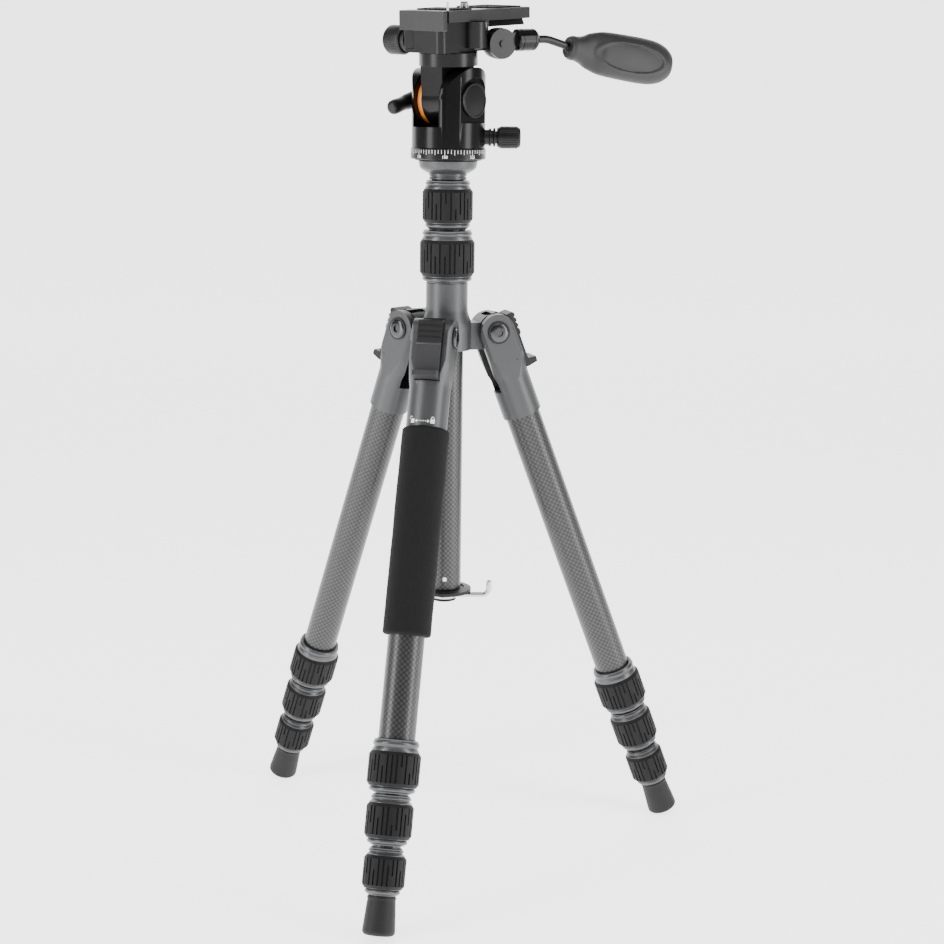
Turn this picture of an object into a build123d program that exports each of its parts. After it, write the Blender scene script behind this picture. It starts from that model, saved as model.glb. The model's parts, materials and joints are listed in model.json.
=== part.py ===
from build123d import *
import os
from math import cos, radians, sin

os.makedirs("parts", exist_ok=True)

# Compact travel tripod with a two-way head, standing on its three feet with every section closed.
# Millimetres, +Z up. The origin is on the floor, on the axis of the centre column.
# Leg a points along -Y. Azimuths are measured from -Y towards +X.

# ---- driving dimensions: stance ----
leg_azimuths = {"a": 0.0, "b": 120.0, "c": 240.0}
leg_tilt = 21.0             # from the vertical, at the first angle stop
pivot_radius = 36.0         # pivot axis from the column axis
leg_length = 421.9          # pivot axis to the flat end of the foot

# ---- driving dimensions: leg tubes and locks, along the leg from its pivot ----
leg_tube_diameter = 26.0    # of the top section
tube_step = 3.0             # from one section to the next
tube_diameters = tuple(leg_tube_diameter - tube_step * place for place in range(4))
tube_wall = 1.2
tube_tops = (46.0, 49.0, 51.0, 53.0)
tube_engagement = 22.0      # length of a tube's lower end inside its lock
lock_starts = (288.4, 326.5, 362.7)
lock_lengths = (37.0, 34.3, 32.0)
lock_ring_heights = (8.2, 5.6, 4.8)
lock_end_height = 4.6
lock_ring_proud = (3.25, 2.7, 2.4)      # upper ring, out from the tube above it
lock_sleeve_proud = (5.25, 5.0, 4.8)    # rubber sleeve, out from the tube above it
lock_end_proud = 2.0        # narrow lower edge, out from the tube below it
sleeve_thickness = 2.2
running_fit = 0.1           # radial, where one piece turns or slides in another
lock_gap = 0.5
edge_break = 0.7            # small chamfer on turned edges

# ---- driving dimensions: foot and foam grip ----
foot_top_diameter = tube_diameters[3] + 3.3
foot_diameter = tube_diameters[3] + 6.0
foot_edge = 3.0
foot_wall_below_tube = 10.0
foot_gap = 0.6
grip_start = 67.8
grip_length = 148.0
grip_diameter = leg_tube_diameter + 8.7
grip_round = 2.0

# ---- driving dimensions: leg casting, latch and pivot ----
casting_wall = 1.8
casting_diameter = leg_tube_diameter + 2 * casting_wall
casting_end = 67.5
ear_width = 29.5            # over both ears
ear_radius = 13.5
fork_gap = 16.7
fork_depth = 19.0
inner_slot_depth = 45.0
casting_shoulder = 18.5      # radius that rounds the corners of the fork
casting_blend = 38.0         # where the fork's corners have run out into the round socket
lug_width = 16.0
lug_radius = 14.0
pivot_bolt_diameter = 6.0
bolt_head_diameter = 14.0
bolt_head_height = 1.15
washer_diameter = 17.0
washer_thickness = 0.8
washer_gap = 0.2
hex_socket = 5.0
latch_width = 18.0
latch_top = -9.0
latch_split = 8.0           # between the ribbed end and the plain plate
latch_bottom = 34.0
latch_floor = 11.5
latch_plate = 16.4
latch_face = 17.6
latch_ribs = 3
latch_rib_pitch = 4.2
latch_groove_width = 1.6
latch_groove_depth = 0.9
latch_edge = 1.0
latch_tab = 22.5
latch_tab_height = 5.0
latch_clearance = 0.4
angle_stops = (21.0, 50.0, 80.0)
nose_angle = 33.0           # latch nose, from the leg's outer face towards its top
notch_width = 4.5
notch_depth = 2.5

# ---- driving dimensions: spider and centre column, heights from the pivot axis ----
column_diameter = 25.0
column_wall = 1.2
column_play = 0.3           # radial, between the two columns
inner_column_diameter = column_diameter - 2 * column_wall - 2 * column_play
hub_diameter = column_diameter + 11.8
hub_bottom = -13.1
hub_top = 4.0
neck_diameter = column_diameter + 5.8
neck_bottom = 18.0
neck_top = 36.4
thread_diameter = column_diameter + 4.0
thread_height = 24.6
spider_lock_height = 37.9
spider_lock_sleeve_diameter = column_diameter + 15.2
spider_lock_ring_diameter = column_diameter + 11.6
spider_lock_lip = 6.5
column_bottom = -195.0
column_lock_gap = 1.0
column_lock_height = 35.0
column_lock_sleeve_diameter = column_diameter + 11.8
column_lock_ring_diameter = column_diameter + 7.8
column_lock_lip = 5.8
column_engagement = 21.5
inner_column_length = 298.5
cap_disc_diameter = column_diameter + 15.6
cap_disc_thickness = 4.0
cap_plug_length = 12.0
cap_boss_diameter = 12.0
hook_wire = 4.0
hook_reach = 34.0
hook_rise = 11.5
hook_bend = 5.0
hook_azimuth = 103.3
hook_gap = 0.4              # above and below the hook's ring
hook_flange = 1.2

# ---- driving dimensions: top plate and head ----
top_neck_diameter = 27.6
top_neck_height = 4.9
top_plate_diameter = 43.0
top_plate_height = 9.0
top_plate_cone = 3.4
top_plate_cone_edge = 1.2
top_plate_band = 4.6
top_plate_flare = 1.5
stud_diameter = 9.5
stud_length = 8.0
dial_diameter = 54.4
dial_step = 0.8
dial_recess = 3.0
dial_edge = 0.5
dial_height = 8.0
spigot_diameter = 24.0
spigot_height = 10.0
head_azimuth = -27.0        # the side that the clamp's stop faces
housing_diameter = 53.2
housing_gap = 0.3
housing_ring_height = 14.7
tilt_axis_height = 34.0     # above the dial
arch_radius = 23.0
panel_radius = 16.0
panel_distance = 23.0
blade_thickness = 20.0
blade_half_depth = 18.0
drum_radius = 18.5
friction_ring_radius = 18.0
friction_ring_bore = 14.5
friction_ring_thickness = 3.6
wing_screw_diameter = 8.0
blade_gap = 0.3
selector_diameter = 25.0
selector_thickness = 2.2
wing_hub_diameter = 16.0
wing_hub_length = 6.0
wing_length = 25.5
wing_thickness = 10.0
wing_depth = 11.0
wing_angle = -15.0
knob_edge = 0.8
pan_knob_azimuth = 108.0
pan_knob_height = 7.8       # above the dial
pan_knob_diameter = 16.0
pan_knob_length = 16.5
pan_knob_stem_diameter = 11.0
pan_knob_start = 9.0        # out from the housing

# ---- driving dimensions: clamp, plate and handle, in the tilted frame of the ball stem ----
head_tilt = 4.3             # stop side down
head_roll = -2.4
stem_neck_diameter = 42.4
stem_neck_bottom = 24.6
stem_neck_top = 34.5
stem_neck_lap = 1.0         # of the blade into the neck
clamp_floor = 37.2
clamp_top = 49.8
clamp_front = 28.0
clamp_back = -27.5
clamp_right = 17.5
jaw_split = -8.7
jaw_left = -20.0
jaw_gap = 0.3
jaw_slope = 1.5             # of the jaw's upper face
clamp_bevel = 3.0
clamp_corner = 5.0          # upright corners of the body and the jaw
stop_front = 29.3
stop_thickness = 4.0
stop_bottom = 49.8
stop_corner = 1.0
plate_width = 41.2
plate_front = 23.3
plate_length = 91.8
plate_top = 63.6
plate_thickness = 8.0
dovetail_height = 4.8
dovetail_foot = 31.0
dovetail_neck = 27.0
dovetail_play = 0.15
plate_clearance = 0.3
pad_width = 34.0
pads = ((16.0, -8.0), (-28.0, -64.0))   # front and back end of each pad
pad_thickness = 0.9
pad_corner = 3.0
camera_thread_diameter = 6.35
camera_screw_place = -18.0
camera_shank_diameter = 5.2
camera_stud = 5.0
camera_head_diameter = 16.0
twist_pin_diameter = 1.6
twist_pin_place = (21.6, 18.0)
twist_pin_rise = 6.2
twist_pin_depth = 2.4
clamp_knob_diameter = 20.8
clamp_knob_length = 17.5
clamp_knob_place = (16.0, 42.0)
clamp_knob_gap = 3.2
clamp_screw_diameter = 8.0
clamp_screw_end = 0.0
boss_diameter = 17.6
boss_place = (-8.0, 18.0)
handle_height = 39.5
handle_turn = 158.3         # handle direction from the stop side
rosette_diameter = 21.4
rosette_reach = 19.9
rosette_thickness = 5.6
rosette_gap = 0.3
rosette_arm_height = 12.0
rosette_pin_overhang = 1.2
rosette_pin_diameter = 5.0
joint_thread_diameter = 11.0
joint_thread_length = 6.5
handle_rod_diameter = 5.8
nut_start = 31.5
nut_length = 16.7
nut_diameter = 15.6
rod_offset = 2.0
rod_bend_place = 58.0
rod_end = (86.0, -6.9)
rod_bend_radius = 25.0
grip_root = (74.0, -4.0)
grip_slope = 10.8           # down from the clamp's plane
rod_socket = 30.0           # depth of the rod in the grip
# sections of the handle grip: distance from its root, half height, half width
handle_grip_sections = ((0, 8.6, 8.0), (9, 9.4, 8.2), (20, 12.6, 8.8), (34, 15.7, 10.0),
                        (56, 16.7, 11.2), (80, 16.4, 11.0), (92, 12.4, 8.6), (98, 5.2, 4.2))

# ---- heights and radii that follow ----
pivot_height = ((leg_length - foot_edge) * cos(radians(leg_tilt)) + foot_edge
                + (foot_diameter / 2 - foot_edge) * sin(radians(leg_tilt)))
spider_lock_bottom = pivot_height + neck_top + lock_gap
spider_lock_top = spider_lock_bottom + spider_lock_height
column_low = pivot_height + column_bottom
column_lock_bottom = spider_lock_top + column_lock_gap
column_high = column_lock_bottom + column_engagement
column_lock_top = column_lock_bottom + column_lock_height
top_neck_bottom = column_lock_top + lock_gap
top_plate_bottom = top_neck_bottom + top_neck_height
top_plate_top = top_plate_bottom + top_plate_height
dial_top = top_plate_top + dial_step + dial_height
tilt_height = dial_top + tilt_axis_height
housing_bottom = dial_top + housing_gap
housing_ring_top = housing_bottom + housing_ring_height


def on(base, local):
    """A plane given in another plane's own axes."""
    return Plane(base.location * local.location)


def upright(azimuth, height=0.0):
    """Plane through the column axis: x points out along the azimuth, y up."""
    out = Vector(sin(radians(azimuth)), -cos(radians(azimuth)), 0)
    return Plane(origin=(0, 0, height), x_dir=out, z_dir=out.cross(Vector(0, 0, 1)))


def leg_plane(azimuth):
    """Leg frame at its pivot: x along the pivot bolt, y out of the leg's outer face, z down the leg."""
    out = Vector(sin(radians(azimuth)), -cos(radians(azimuth)), 0)
    across = Vector(cos(radians(azimuth)), sin(radians(azimuth)), 0)
    down = out * sin(radians(leg_tilt)) - Vector(0, 0, 1) * cos(radians(leg_tilt))
    return Plane(origin=out * pivot_radius + Vector(0, 0, pivot_height), x_dir=across, z_dir=down)


def finish(piece, label):
    piece.part.label = label
    export_step(piece.part, f"parts/{label}.step")


def tube(plane, start, end, outer, wall, label):
    """One round tube along the plane's normal."""
    with BuildPart() as piece:
        with BuildSketch(plane.offset(start)):
            Circle(outer / 2)
            Circle(outer / 2 - wall, mode=Mode.SUBTRACT)
        extrude(amount=end - start)
    finish(piece, label)


def twist_lock(plane, start, length, lip, radii, step, label):
    """A collar under a rubber sleeve, along the plane's normal, with its lip at the start.

    radii: first bore, second bore, lip, sleeve, narrow far edge. The bore changes at the step.
    """
    first, second, ring, sleeve, edge = radii
    side = on(plane, Plane.YZ)
    axis = Axis(plane.origin, plane.z_dir)
    under = sleeve - sleeve_thickness
    seat = start + lip
    rim = start + length - lock_end_height
    with BuildPart() as collar:
        with BuildSketch(side):
            with BuildLine():
                Polyline((first + running_fit, start), (ring - edge_break, start),
                         (ring, start + edge_break), (ring, seat), (under, seat), (under, rim),
                         (ring, rim), (ring, rim + edge_break), (edge, start + length),
                         (second + running_fit, start + length), (second + running_fit, step),
                         (first + running_fit, step), close=True)
            make_face()
        revolve(axis=axis)
    with BuildPart() as rubber:
        with BuildSketch(side):
            with BuildLine():
                Polyline((under, seat), (sleeve - edge_break, seat), (sleeve, seat + edge_break),
                         (sleeve, rim - edge_break), (sleeve - edge_break, rim), (under, rim),
                         close=True)
            make_face()
        revolve(axis=axis)
    pair = Compound(label=label, children=[collar.part, rubber.part])
    export_step(pair, f"parts/{label}.step")


def leg_casting(plane, name):
    """Forked top of a leg: two ears on the pivot bolt, and a socket for the first tube."""
    side = on(plane, Plane.YZ)
    radius = casting_diameter / 2
    with BuildPart() as casting:
        with BuildSketch(side):
            Circle(ear_radius)
            with Locations((0, casting_blend / 2)):
                Rectangle(2 * ear_radius, casting_blend)
        extrude(amount=ear_width / 2, both=True)
        with BuildSketch(side):
            with BuildLine():
                Polyline((0, -ear_radius), (casting_shoulder, -ear_radius), (casting_shoulder, fork_depth),
                         (radius, casting_blend), (0, casting_blend), close=True)
            make_face()
        revolve(axis=Axis(plane.origin, plane.z_dir), mode=Mode.INTERSECT)
        with BuildSketch(plane.offset(fork_depth)):
            Circle(radius)
        extrude(amount=casting_end - fork_depth)
        with BuildSketch(plane.offset(tube_tops[0])):
            Circle(tube_diameters[0] / 2)
        extrude(amount=casting_end, mode=Mode.SUBTRACT)
        # the fork, deeper on the side that faces the column
        with BuildSketch(side):
            with Locations((0, 0)):
                Rectangle(3 * ear_radius, 2 * fork_depth)
            with Locations((-ear_radius, inner_slot_depth / 2)):
                Rectangle(2 * ear_radius, inner_slot_depth)
        extrude(amount=fork_gap / 2, both=True, mode=Mode.SUBTRACT)
        # pocket for the latch in the outer face
        with BuildSketch(side):
            with Locations((latch_floor - latch_clearance + ear_radius, (latch_top + latch_bottom) / 2)):
                Rectangle(2 * ear_radius, latch_bottom - latch_top + 4 * latch_clearance)
        extrude(amount=latch_width / 2 + latch_clearance, both=True, mode=Mode.SUBTRACT)
        with BuildSketch(side):
            Circle(pivot_bolt_diameter / 2 + running_fit)
        extrude(amount=ear_width, both=True, mode=Mode.SUBTRACT)
    finish(casting, f"leg_{name}_casting")


def leg_latch(plane, name):
    """Sprung angle latch on the outer face: ribbed top, smooth plate and a pull tab."""
    side = on(plane, Plane.YZ)
    with BuildPart() as latch:
        with BuildSketch(side):
            with BuildLine():
                Polyline((latch_floor, latch_top), (latch_face - latch_edge, latch_top),
                         (latch_face, latch_top + latch_edge), (latch_face, latch_split),
                         (latch_plate, latch_split + latch_edge),
                         (latch_plate, latch_bottom - latch_tab_height - latch_edge),
                         (latch_tab, latch_bottom - latch_tab_height),
                         (latch_tab, latch_bottom - latch_edge), (latch_plate, latch_bottom),
                         (latch_floor, latch_bottom), close=True)
            make_face()
            Circle(lug_radius + latch_clearance, mode=Mode.SUBTRACT)
            for rib in range(latch_ribs):
                with Locations((latch_face, latch_top + (rib + 1) * latch_rib_pitch)):
                    Rectangle(2 * latch_groove_depth, latch_groove_width, mode=Mode.SUBTRACT)
        extrude(amount=latch_width / 2, both=True)
    finish(latch, f"leg_{name}_latch")


def leg_foot(plane, name):
    """Rubber foot on the last tube, with a rounded edge at its flat end."""
    side = on(plane, Plane.YZ)
    start = lock_starts[2] + lock_lengths[2] + foot_gap
    bore = tube_diameters[3] / 2
    with BuildPart() as foot:
        with BuildSketch(side) as outline:
            with BuildLine():
                Polyline((bore, start), (foot_top_diameter / 2, start),
                         (foot_diameter / 2, leg_length), (0, leg_length),
                         (0, leg_length - foot_wall_below_tube),
                         (bore, leg_length - foot_wall_below_tube), close=True)
            make_face()
            corner = Vector(foot_diameter / 2, leg_length, 0)
            fillet(outline.vertices().sort_by_distance(corner)[0], foot_edge)
        revolve(axis=Axis(plane.origin, plane.z_dir))
    finish(foot, f"leg_{name}_foot")


for name, azimuth in leg_azimuths.items():
    frame = leg_plane(azimuth)
    leg_casting(frame, name)
    leg_latch(frame, name)
    lower_ends = [mouth + tube_engagement for mouth in lock_starts]
    lower_ends.append(leg_length - foot_wall_below_tube)
    for number in range(4):
        tube(frame, tube_tops[number], lower_ends[number], tube_diameters[number], tube_wall,
             f"leg_{name}_tube_{number + 1}")
    for number in range(3):
        upper = tube_diameters[number] / 2
        lower = tube_diameters[number + 1] / 2
        radii = (upper, lower, upper + lock_ring_proud[number], upper + lock_sleeve_proud[number],
                 lower + lock_end_proud)
        twist_lock(frame, lock_starts[number], lock_lengths[number], lock_ring_heights[number], radii,
                   lower_ends[number] + lock_gap, f"leg_{name}_lock_{number + 1}")
    leg_foot(frame, name)

# ---- foam grip on the front leg ----
front = leg_plane(leg_azimuths["a"])
with BuildPart() as foam:
    with BuildSketch(front.offset(grip_start)):
        Circle(grip_diameter / 2)
        Circle(tube_diameters[0] / 2, mode=Mode.SUBTRACT)
    extrude(amount=grip_length)
    fillet(foam.faces().sort_by(SortBy.AREA)[-1].edges(), grip_round)
finish(foam, "leg_grip")

# ---- pivot bolts: a shank through each lug, with a washer and a socket head at both ends ----
with BuildPart() as bolts:
    for azimuth in leg_azimuths.values():
        side = on(leg_plane(azimuth), Plane.YZ)
        inner = ear_width / 2 + washer_gap
        outer = inner + washer_thickness + bolt_head_height
        with BuildSketch(side):
            Circle(pivot_bolt_diameter / 2)
        extrude(amount=inner, both=True)
        for face in (side.offset(inner), side.offset(-inner)):
            sign = 1 if face.origin.X * side.z_dir.X + face.origin.Y * side.z_dir.Y > 0 else -1
            with BuildSketch(face):
                Circle(washer_diameter / 2)
            extrude(amount=sign * washer_thickness)
            with BuildSketch(face):
                Circle(bolt_head_diameter / 2)
            extrude(amount=sign * (washer_thickness + bolt_head_height))
            with BuildSketch(face):
                RegularPolygon(hex_socket / 2, 6, major_radius=False)
            extrude(amount=sign * (washer_thickness + 2 * bolt_head_height), mode=Mode.SUBTRACT)
finish(bolts, "leg_pivot_bolts")

# ---- spider: hub, threaded neck and three lugs ----
column_bore = column_diameter / 2 + running_fit
with BuildPart() as spider:
    with BuildSketch(Plane.XZ):
        with BuildLine():
            hub = hub_diameter / 2
            neck = neck_diameter / 2
            low = pivot_height + hub_bottom
            shoulder = pivot_height + neck_top
            Polyline((hub, pivot_height + hub_top), (hub, low + edge_break), (hub - edge_break, low),
                     (column_bore, low), (column_bore, shoulder + thread_height),
                     (thread_diameter / 2, shoulder + thread_height),
                     (thread_diameter / 2, shoulder), (neck, shoulder),
                     (neck, pivot_height + neck_bottom))
            Spline((neck, pivot_height + neck_bottom), (hub, pivot_height + hub_top),
                   tangents=((0, -1), (0, -1)))
        make_face()
    revolve(axis=Axis.Z)
    for azimuth in leg_azimuths.values():
        arm = pivot_radius - column_bore
        with BuildSketch(upright(azimuth, pivot_height)):
            with Locations((column_bore + arm / 2, hub_bottom / 2)):
                Rectangle(arm, -hub_bottom)
            with Locations((column_bore + arm / 2, lug_radius / 4)):
                Rectangle(arm, lug_radius / 2)
            with Locations((pivot_radius, 0)):
                Circle(lug_radius)
            with Locations((pivot_radius, 0)):
                Circle(pivot_bolt_diameter / 2, mode=Mode.SUBTRACT)
            for stop in angle_stops:
                turn = radians(stop + nose_angle)
                place = (pivot_radius + lug_radius * cos(turn), lug_radius * sin(turn))
                with Locations(Location(place, stop + nose_angle)):
                    Rectangle(2 * notch_depth, notch_width, mode=Mode.SUBTRACT)
        extrude(amount=lug_width / 2, both=True)
    with BuildSketch(Plane.XY.offset(low - lug_radius)):
        Circle(column_bore)
    extrude(amount=3 * lug_radius, mode=Mode.SUBTRACT)
finish(spider, "spider")

# ---- the two locks of the column ----
spider_down = Plane(origin=(0, 0, spider_lock_top), z_dir=(0, 0, -1))
thread_top = shoulder + thread_height
twist_lock(spider_down, 0, spider_lock_height, spider_lock_lip,
           (column_diameter / 2, thread_diameter / 2, spider_lock_ring_diameter / 2,
            spider_lock_sleeve_diameter / 2, neck_diameter / 2),
           spider_lock_top - thread_top - lock_gap, "spider_lock")
column_down = Plane(origin=(0, 0, column_lock_top), z_dir=(0, 0, -1))
twist_lock(column_down, 0, column_lock_height, column_lock_lip,
           (inner_column_diameter / 2, column_diameter / 2, column_lock_ring_diameter / 2,
            column_lock_sleeve_diameter / 2, column_diameter / 2 + lock_end_proud),
           column_lock_top - column_high - lock_gap, "column_lock")

# ---- column tubes ----
tube(Plane.XY, column_low, column_high, column_diameter, column_wall, "column_tube")
tube(Plane.XY, top_plate_bottom - inner_column_length, top_plate_bottom, inner_column_diameter,
     column_wall, "inner_column_tube")

# ---- end cap and weight hook ----
column_inside = column_diameter / 2 - column_wall
disc_bottom = column_low - cap_disc_thickness
ring_height = disc_bottom - hook_wire / 2 - hook_gap
flange_top = ring_height - hook_wire / 2 - hook_gap
ring_radius = cap_boss_diameter / 2 + running_fit + hook_wire / 2
with BuildPart() as cap:
    with BuildSketch(Plane.XZ):
        with BuildLine():
            Polyline((0, column_low + cap_plug_length), (column_inside, column_low + cap_plug_length),
                     (column_inside, column_low), (cap_disc_diameter / 2 - edge_break, column_low),
                     (cap_disc_diameter / 2, column_low - edge_break),
                     (cap_disc_diameter / 2, disc_bottom + edge_break),
                     (cap_disc_diameter / 2 - edge_break, disc_bottom),
                     (cap_boss_diameter / 2, disc_bottom),
                     (cap_boss_diameter / 2, flange_top),
                     (ring_radius + hook_wire / 4, flange_top),
                     (ring_radius + hook_wire / 4, flange_top - hook_flange),
                     (0, flange_top - hook_flange), close=True)
        make_face()
    revolve(axis=Axis.Z)
finish(cap, "column_end_cap")

hook_plane = upright(hook_azimuth, ring_height)
with BuildPart() as hook:
    with BuildSketch(hook_plane):
        with Locations((ring_radius, 0)):
            Circle(hook_wire / 2)
    revolve(axis=Axis.Z)
    with BuildLine(hook_plane) as wire:
        FilletPolyline((ring_radius, 0), (hook_reach, 0), (hook_reach, hook_rise), radius=hook_bend)
    with BuildSketch(Plane(origin=wire.line @ 0, z_dir=wire.line % 0)):
        Circle(hook_wire / 2)
    sweep(path=wire.line)
    fillet(hook.edges().sort_by(Axis.Z)[-1], 0.8 * hook_wire / 2)
finish(hook, "weight_hook")

# ---- top plate with the head's stud ----
with BuildPart() as top_plate:
    with BuildSketch(Plane.XZ):
        with BuildLine():
            neck = top_neck_diameter / 2
            rim = top_plate_diameter / 2
            Polyline((inner_column_diameter / 2, top_neck_bottom), (neck, top_neck_bottom),
                     (neck, top_plate_bottom - edge_break), (neck + top_plate_flare, top_plate_bottom),
                     (rim - top_plate_cone_edge, top_plate_bottom + top_plate_cone),
                     (rim - edge_break, top_plate_bottom + top_plate_band),
                     (rim, top_plate_top - edge_break), (rim - edge_break, top_plate_top),
                     (stud_diameter / 2, top_plate_top), (stud_diameter / 2, top_plate_top + stud_length),
                     (0, top_plate_top + stud_length), (0, top_plate_bottom),
                     (inner_column_diameter / 2, top_plate_bottom), close=True)
        make_face()
    revolve(axis=Axis.Z)
finish(top_plate, "column_top_plate")

# ---- pan base: the degree dial, with the spigot that the housing turns on ----
with BuildPart() as pan_base:
    with BuildSketch(Plane.XZ):
        with BuildLine():
            rim = dial_diameter / 2
            Polyline((stud_diameter / 2, top_plate_top), (rim - dial_recess, top_plate_top),
                     (rim - dial_recess, top_plate_top + dial_step),
                     (rim - dial_edge, top_plate_top + dial_step),
                     (rim, top_plate_top + dial_step + dial_edge), (rim, dial_top - dial_edge),
                     (rim - dial_edge, dial_top), (spigot_diameter / 2, dial_top),
                     (spigot_diameter / 2, dial_top + spigot_height),
                     (0, dial_top + spigot_height), (0, top_plate_top + stud_length),
                     (stud_diameter / 2, top_plate_top + stud_length), close=True)
        make_face()
    revolve(axis=Axis.Z)
finish(pan_base, "pan_base")

# ---- head housing: a ring with two arched walls, and a slot for the ball stem between them ----
level = Plane(origin=(0, 0, tilt_height), z_dir=(0, 0, 1),
              x_dir=(sin(radians(head_azimuth)), -cos(radians(head_azimuth)), 0))
level_side = on(level, Plane.XZ)
slot_floor = tilt_height - drum_radius - 2 * blade_gap
slot_right = blade_thickness / 2 + blade_gap
slot_left = blade_thickness / 2 + 2 * blade_gap + friction_ring_thickness
with BuildPart() as housing:
    with BuildSketch(Plane.XY.offset(housing_bottom)):
        Circle(housing_diameter / 2)
    extrude(amount=tilt_height + arch_radius - housing_bottom)
    with BuildSketch(level_side):
        with Locations((0, -(tilt_height - housing_bottom) / 2)):
            Rectangle(2 * arch_radius, tilt_height - housing_bottom)
        with Locations((0, (housing_ring_top + housing_bottom) / 2 - tilt_height)):
            Rectangle(2 * housing_diameter, housing_ring_top - housing_bottom)
        Circle(arch_radius)
    extrude(amount=housing_diameter, both=True, mode=Mode.INTERSECT)
    with BuildSketch(on(level, Plane.YZ)):
        with Locations(((slot_right - slot_left) / 2, (slot_floor - tilt_height) + housing_diameter / 2)):
            Rectangle(slot_right + slot_left, housing_diameter)
    extrude(amount=housing_diameter, both=True, mode=Mode.SUBTRACT)
    # flat arched panels on the outside of both walls
    for out in (1, -1):
        with BuildSketch(level_side.offset(-out * panel_distance)):
            with Locations((0, -panel_radius / 2)):
                Rectangle(2 * panel_radius, panel_radius)
            Circle(panel_radius)
        extrude(amount=-out * housing_diameter, mode=Mode.SUBTRACT)
    with BuildSketch(Plane.XY.offset(housing_bottom)):
        Circle(spigot_diameter / 2 + running_fit)
    extrude(amount=spigot_height + housing_gap, mode=Mode.SUBTRACT)
    # hole for the wing knob's screw
    with BuildSketch(level_side):
        Circle(wing_screw_diameter / 2 + running_fit)
    extrude(amount=housing_diameter, mode=Mode.SUBTRACT)
    # threaded hole for the pan lock knob
    with BuildSketch(on(upright(pan_knob_azimuth, dial_top + pan_knob_height), Plane.YZ)):
        Circle(pan_knob_stem_diameter / 2 + running_fit)
    extrude(amount=housing_diameter, mode=Mode.SUBTRACT)
finish(housing, "head_housing")

# ---- ball stem: drum and blade between the walls, and the round neck under the clamp ----
stem = Plane(level.location * Location((0, 0, 0), (0, head_tilt, 0)))
head = Plane(stem.location * Location((0, 0, 0), (head_roll, 0, 0)))
head_side = on(head, Plane.XZ)
head_end = on(head, Plane.YZ)
with BuildPart() as ball_stem:
    with BuildSketch(on(stem, Plane.XZ)):
        Circle(drum_radius)
        with Locations((0, stem_neck_bottom / 2 + stem_neck_lap)):
            Rectangle(2 * blade_half_depth, stem_neck_bottom + 2 * stem_neck_lap)
    extrude(amount=blade_thickness / 2, both=True)
    with BuildSketch(head.offset(stem_neck_bottom)):
        Circle(stem_neck_diameter / 2)
    extrude(amount=stem_neck_top - stem_neck_bottom)
    chamfer(ball_stem.faces().sort_by(Axis(head.origin, head.z_dir))[-1].edges(), knob_edge)
finish(ball_stem, "ball_stem")

ring_middle = slot_left - friction_ring_thickness / 2
with BuildPart() as friction_ring:
    with BuildSketch(level_side.offset(ring_middle)):
        Circle(friction_ring_radius)
        Circle(friction_ring_bore, mode=Mode.SUBTRACT)
    extrude(amount=friction_ring_thickness / 2, both=True)
finish(friction_ring, "friction_ring")

with BuildPart() as selector:
    with BuildSketch(level_side.offset(-panel_distance - running_fit)):
        Circle(selector_diameter / 2)
    extrude(amount=-selector_thickness)
    chamfer(selector.faces().sort_by(Axis(level.origin, level.y_dir))[-1].edges(), knob_edge)
finish(selector, "selector_cap")

# ---- wing knob on the left wall ----
with BuildPart() as wing:
    start = panel_distance + blade_gap
    with BuildSketch(level_side.offset(slot_left + blade_gap)):
        Circle(wing_screw_diameter / 2)
    extrude(amount=start - slot_left)
    with BuildSketch(level_side.offset(start)):
        Circle(wing_hub_diameter / 2)
    extrude(amount=wing_hub_length + wing_depth)
    with BuildSketch(level_side.offset(start + wing_hub_length)):
        with Locations(Location((0, 0), wing_angle)):
            SlotOverall(2 * wing_length, wing_thickness)
    extrude(amount=wing_depth)
finish(wing, "ball_wing_knob")

# ---- pan lock knob in the housing's ring ----
radial = on(upright(pan_knob_azimuth, dial_top + pan_knob_height), Plane.YZ)
knob_start = housing_diameter / 2 + pan_knob_start
with BuildPart() as pan_knob:
    with BuildSketch(radial.offset(spigot_diameter / 2 + lock_gap)):
        Circle(pan_knob_stem_diameter / 2)
    extrude(amount=knob_start - spigot_diameter / 2 - lock_gap)
    with BuildSketch(radial.offset(knob_start)):
        Circle(pan_knob_diameter / 2)
    extrude(amount=pan_knob_length)
    chamfer(pan_knob.edges().filter_by(GeomType.CIRCLE).sort_by(SortBy.DISTANCE)[-1], knob_edge)
finish(pan_knob, "pan_lock_knob")

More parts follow.
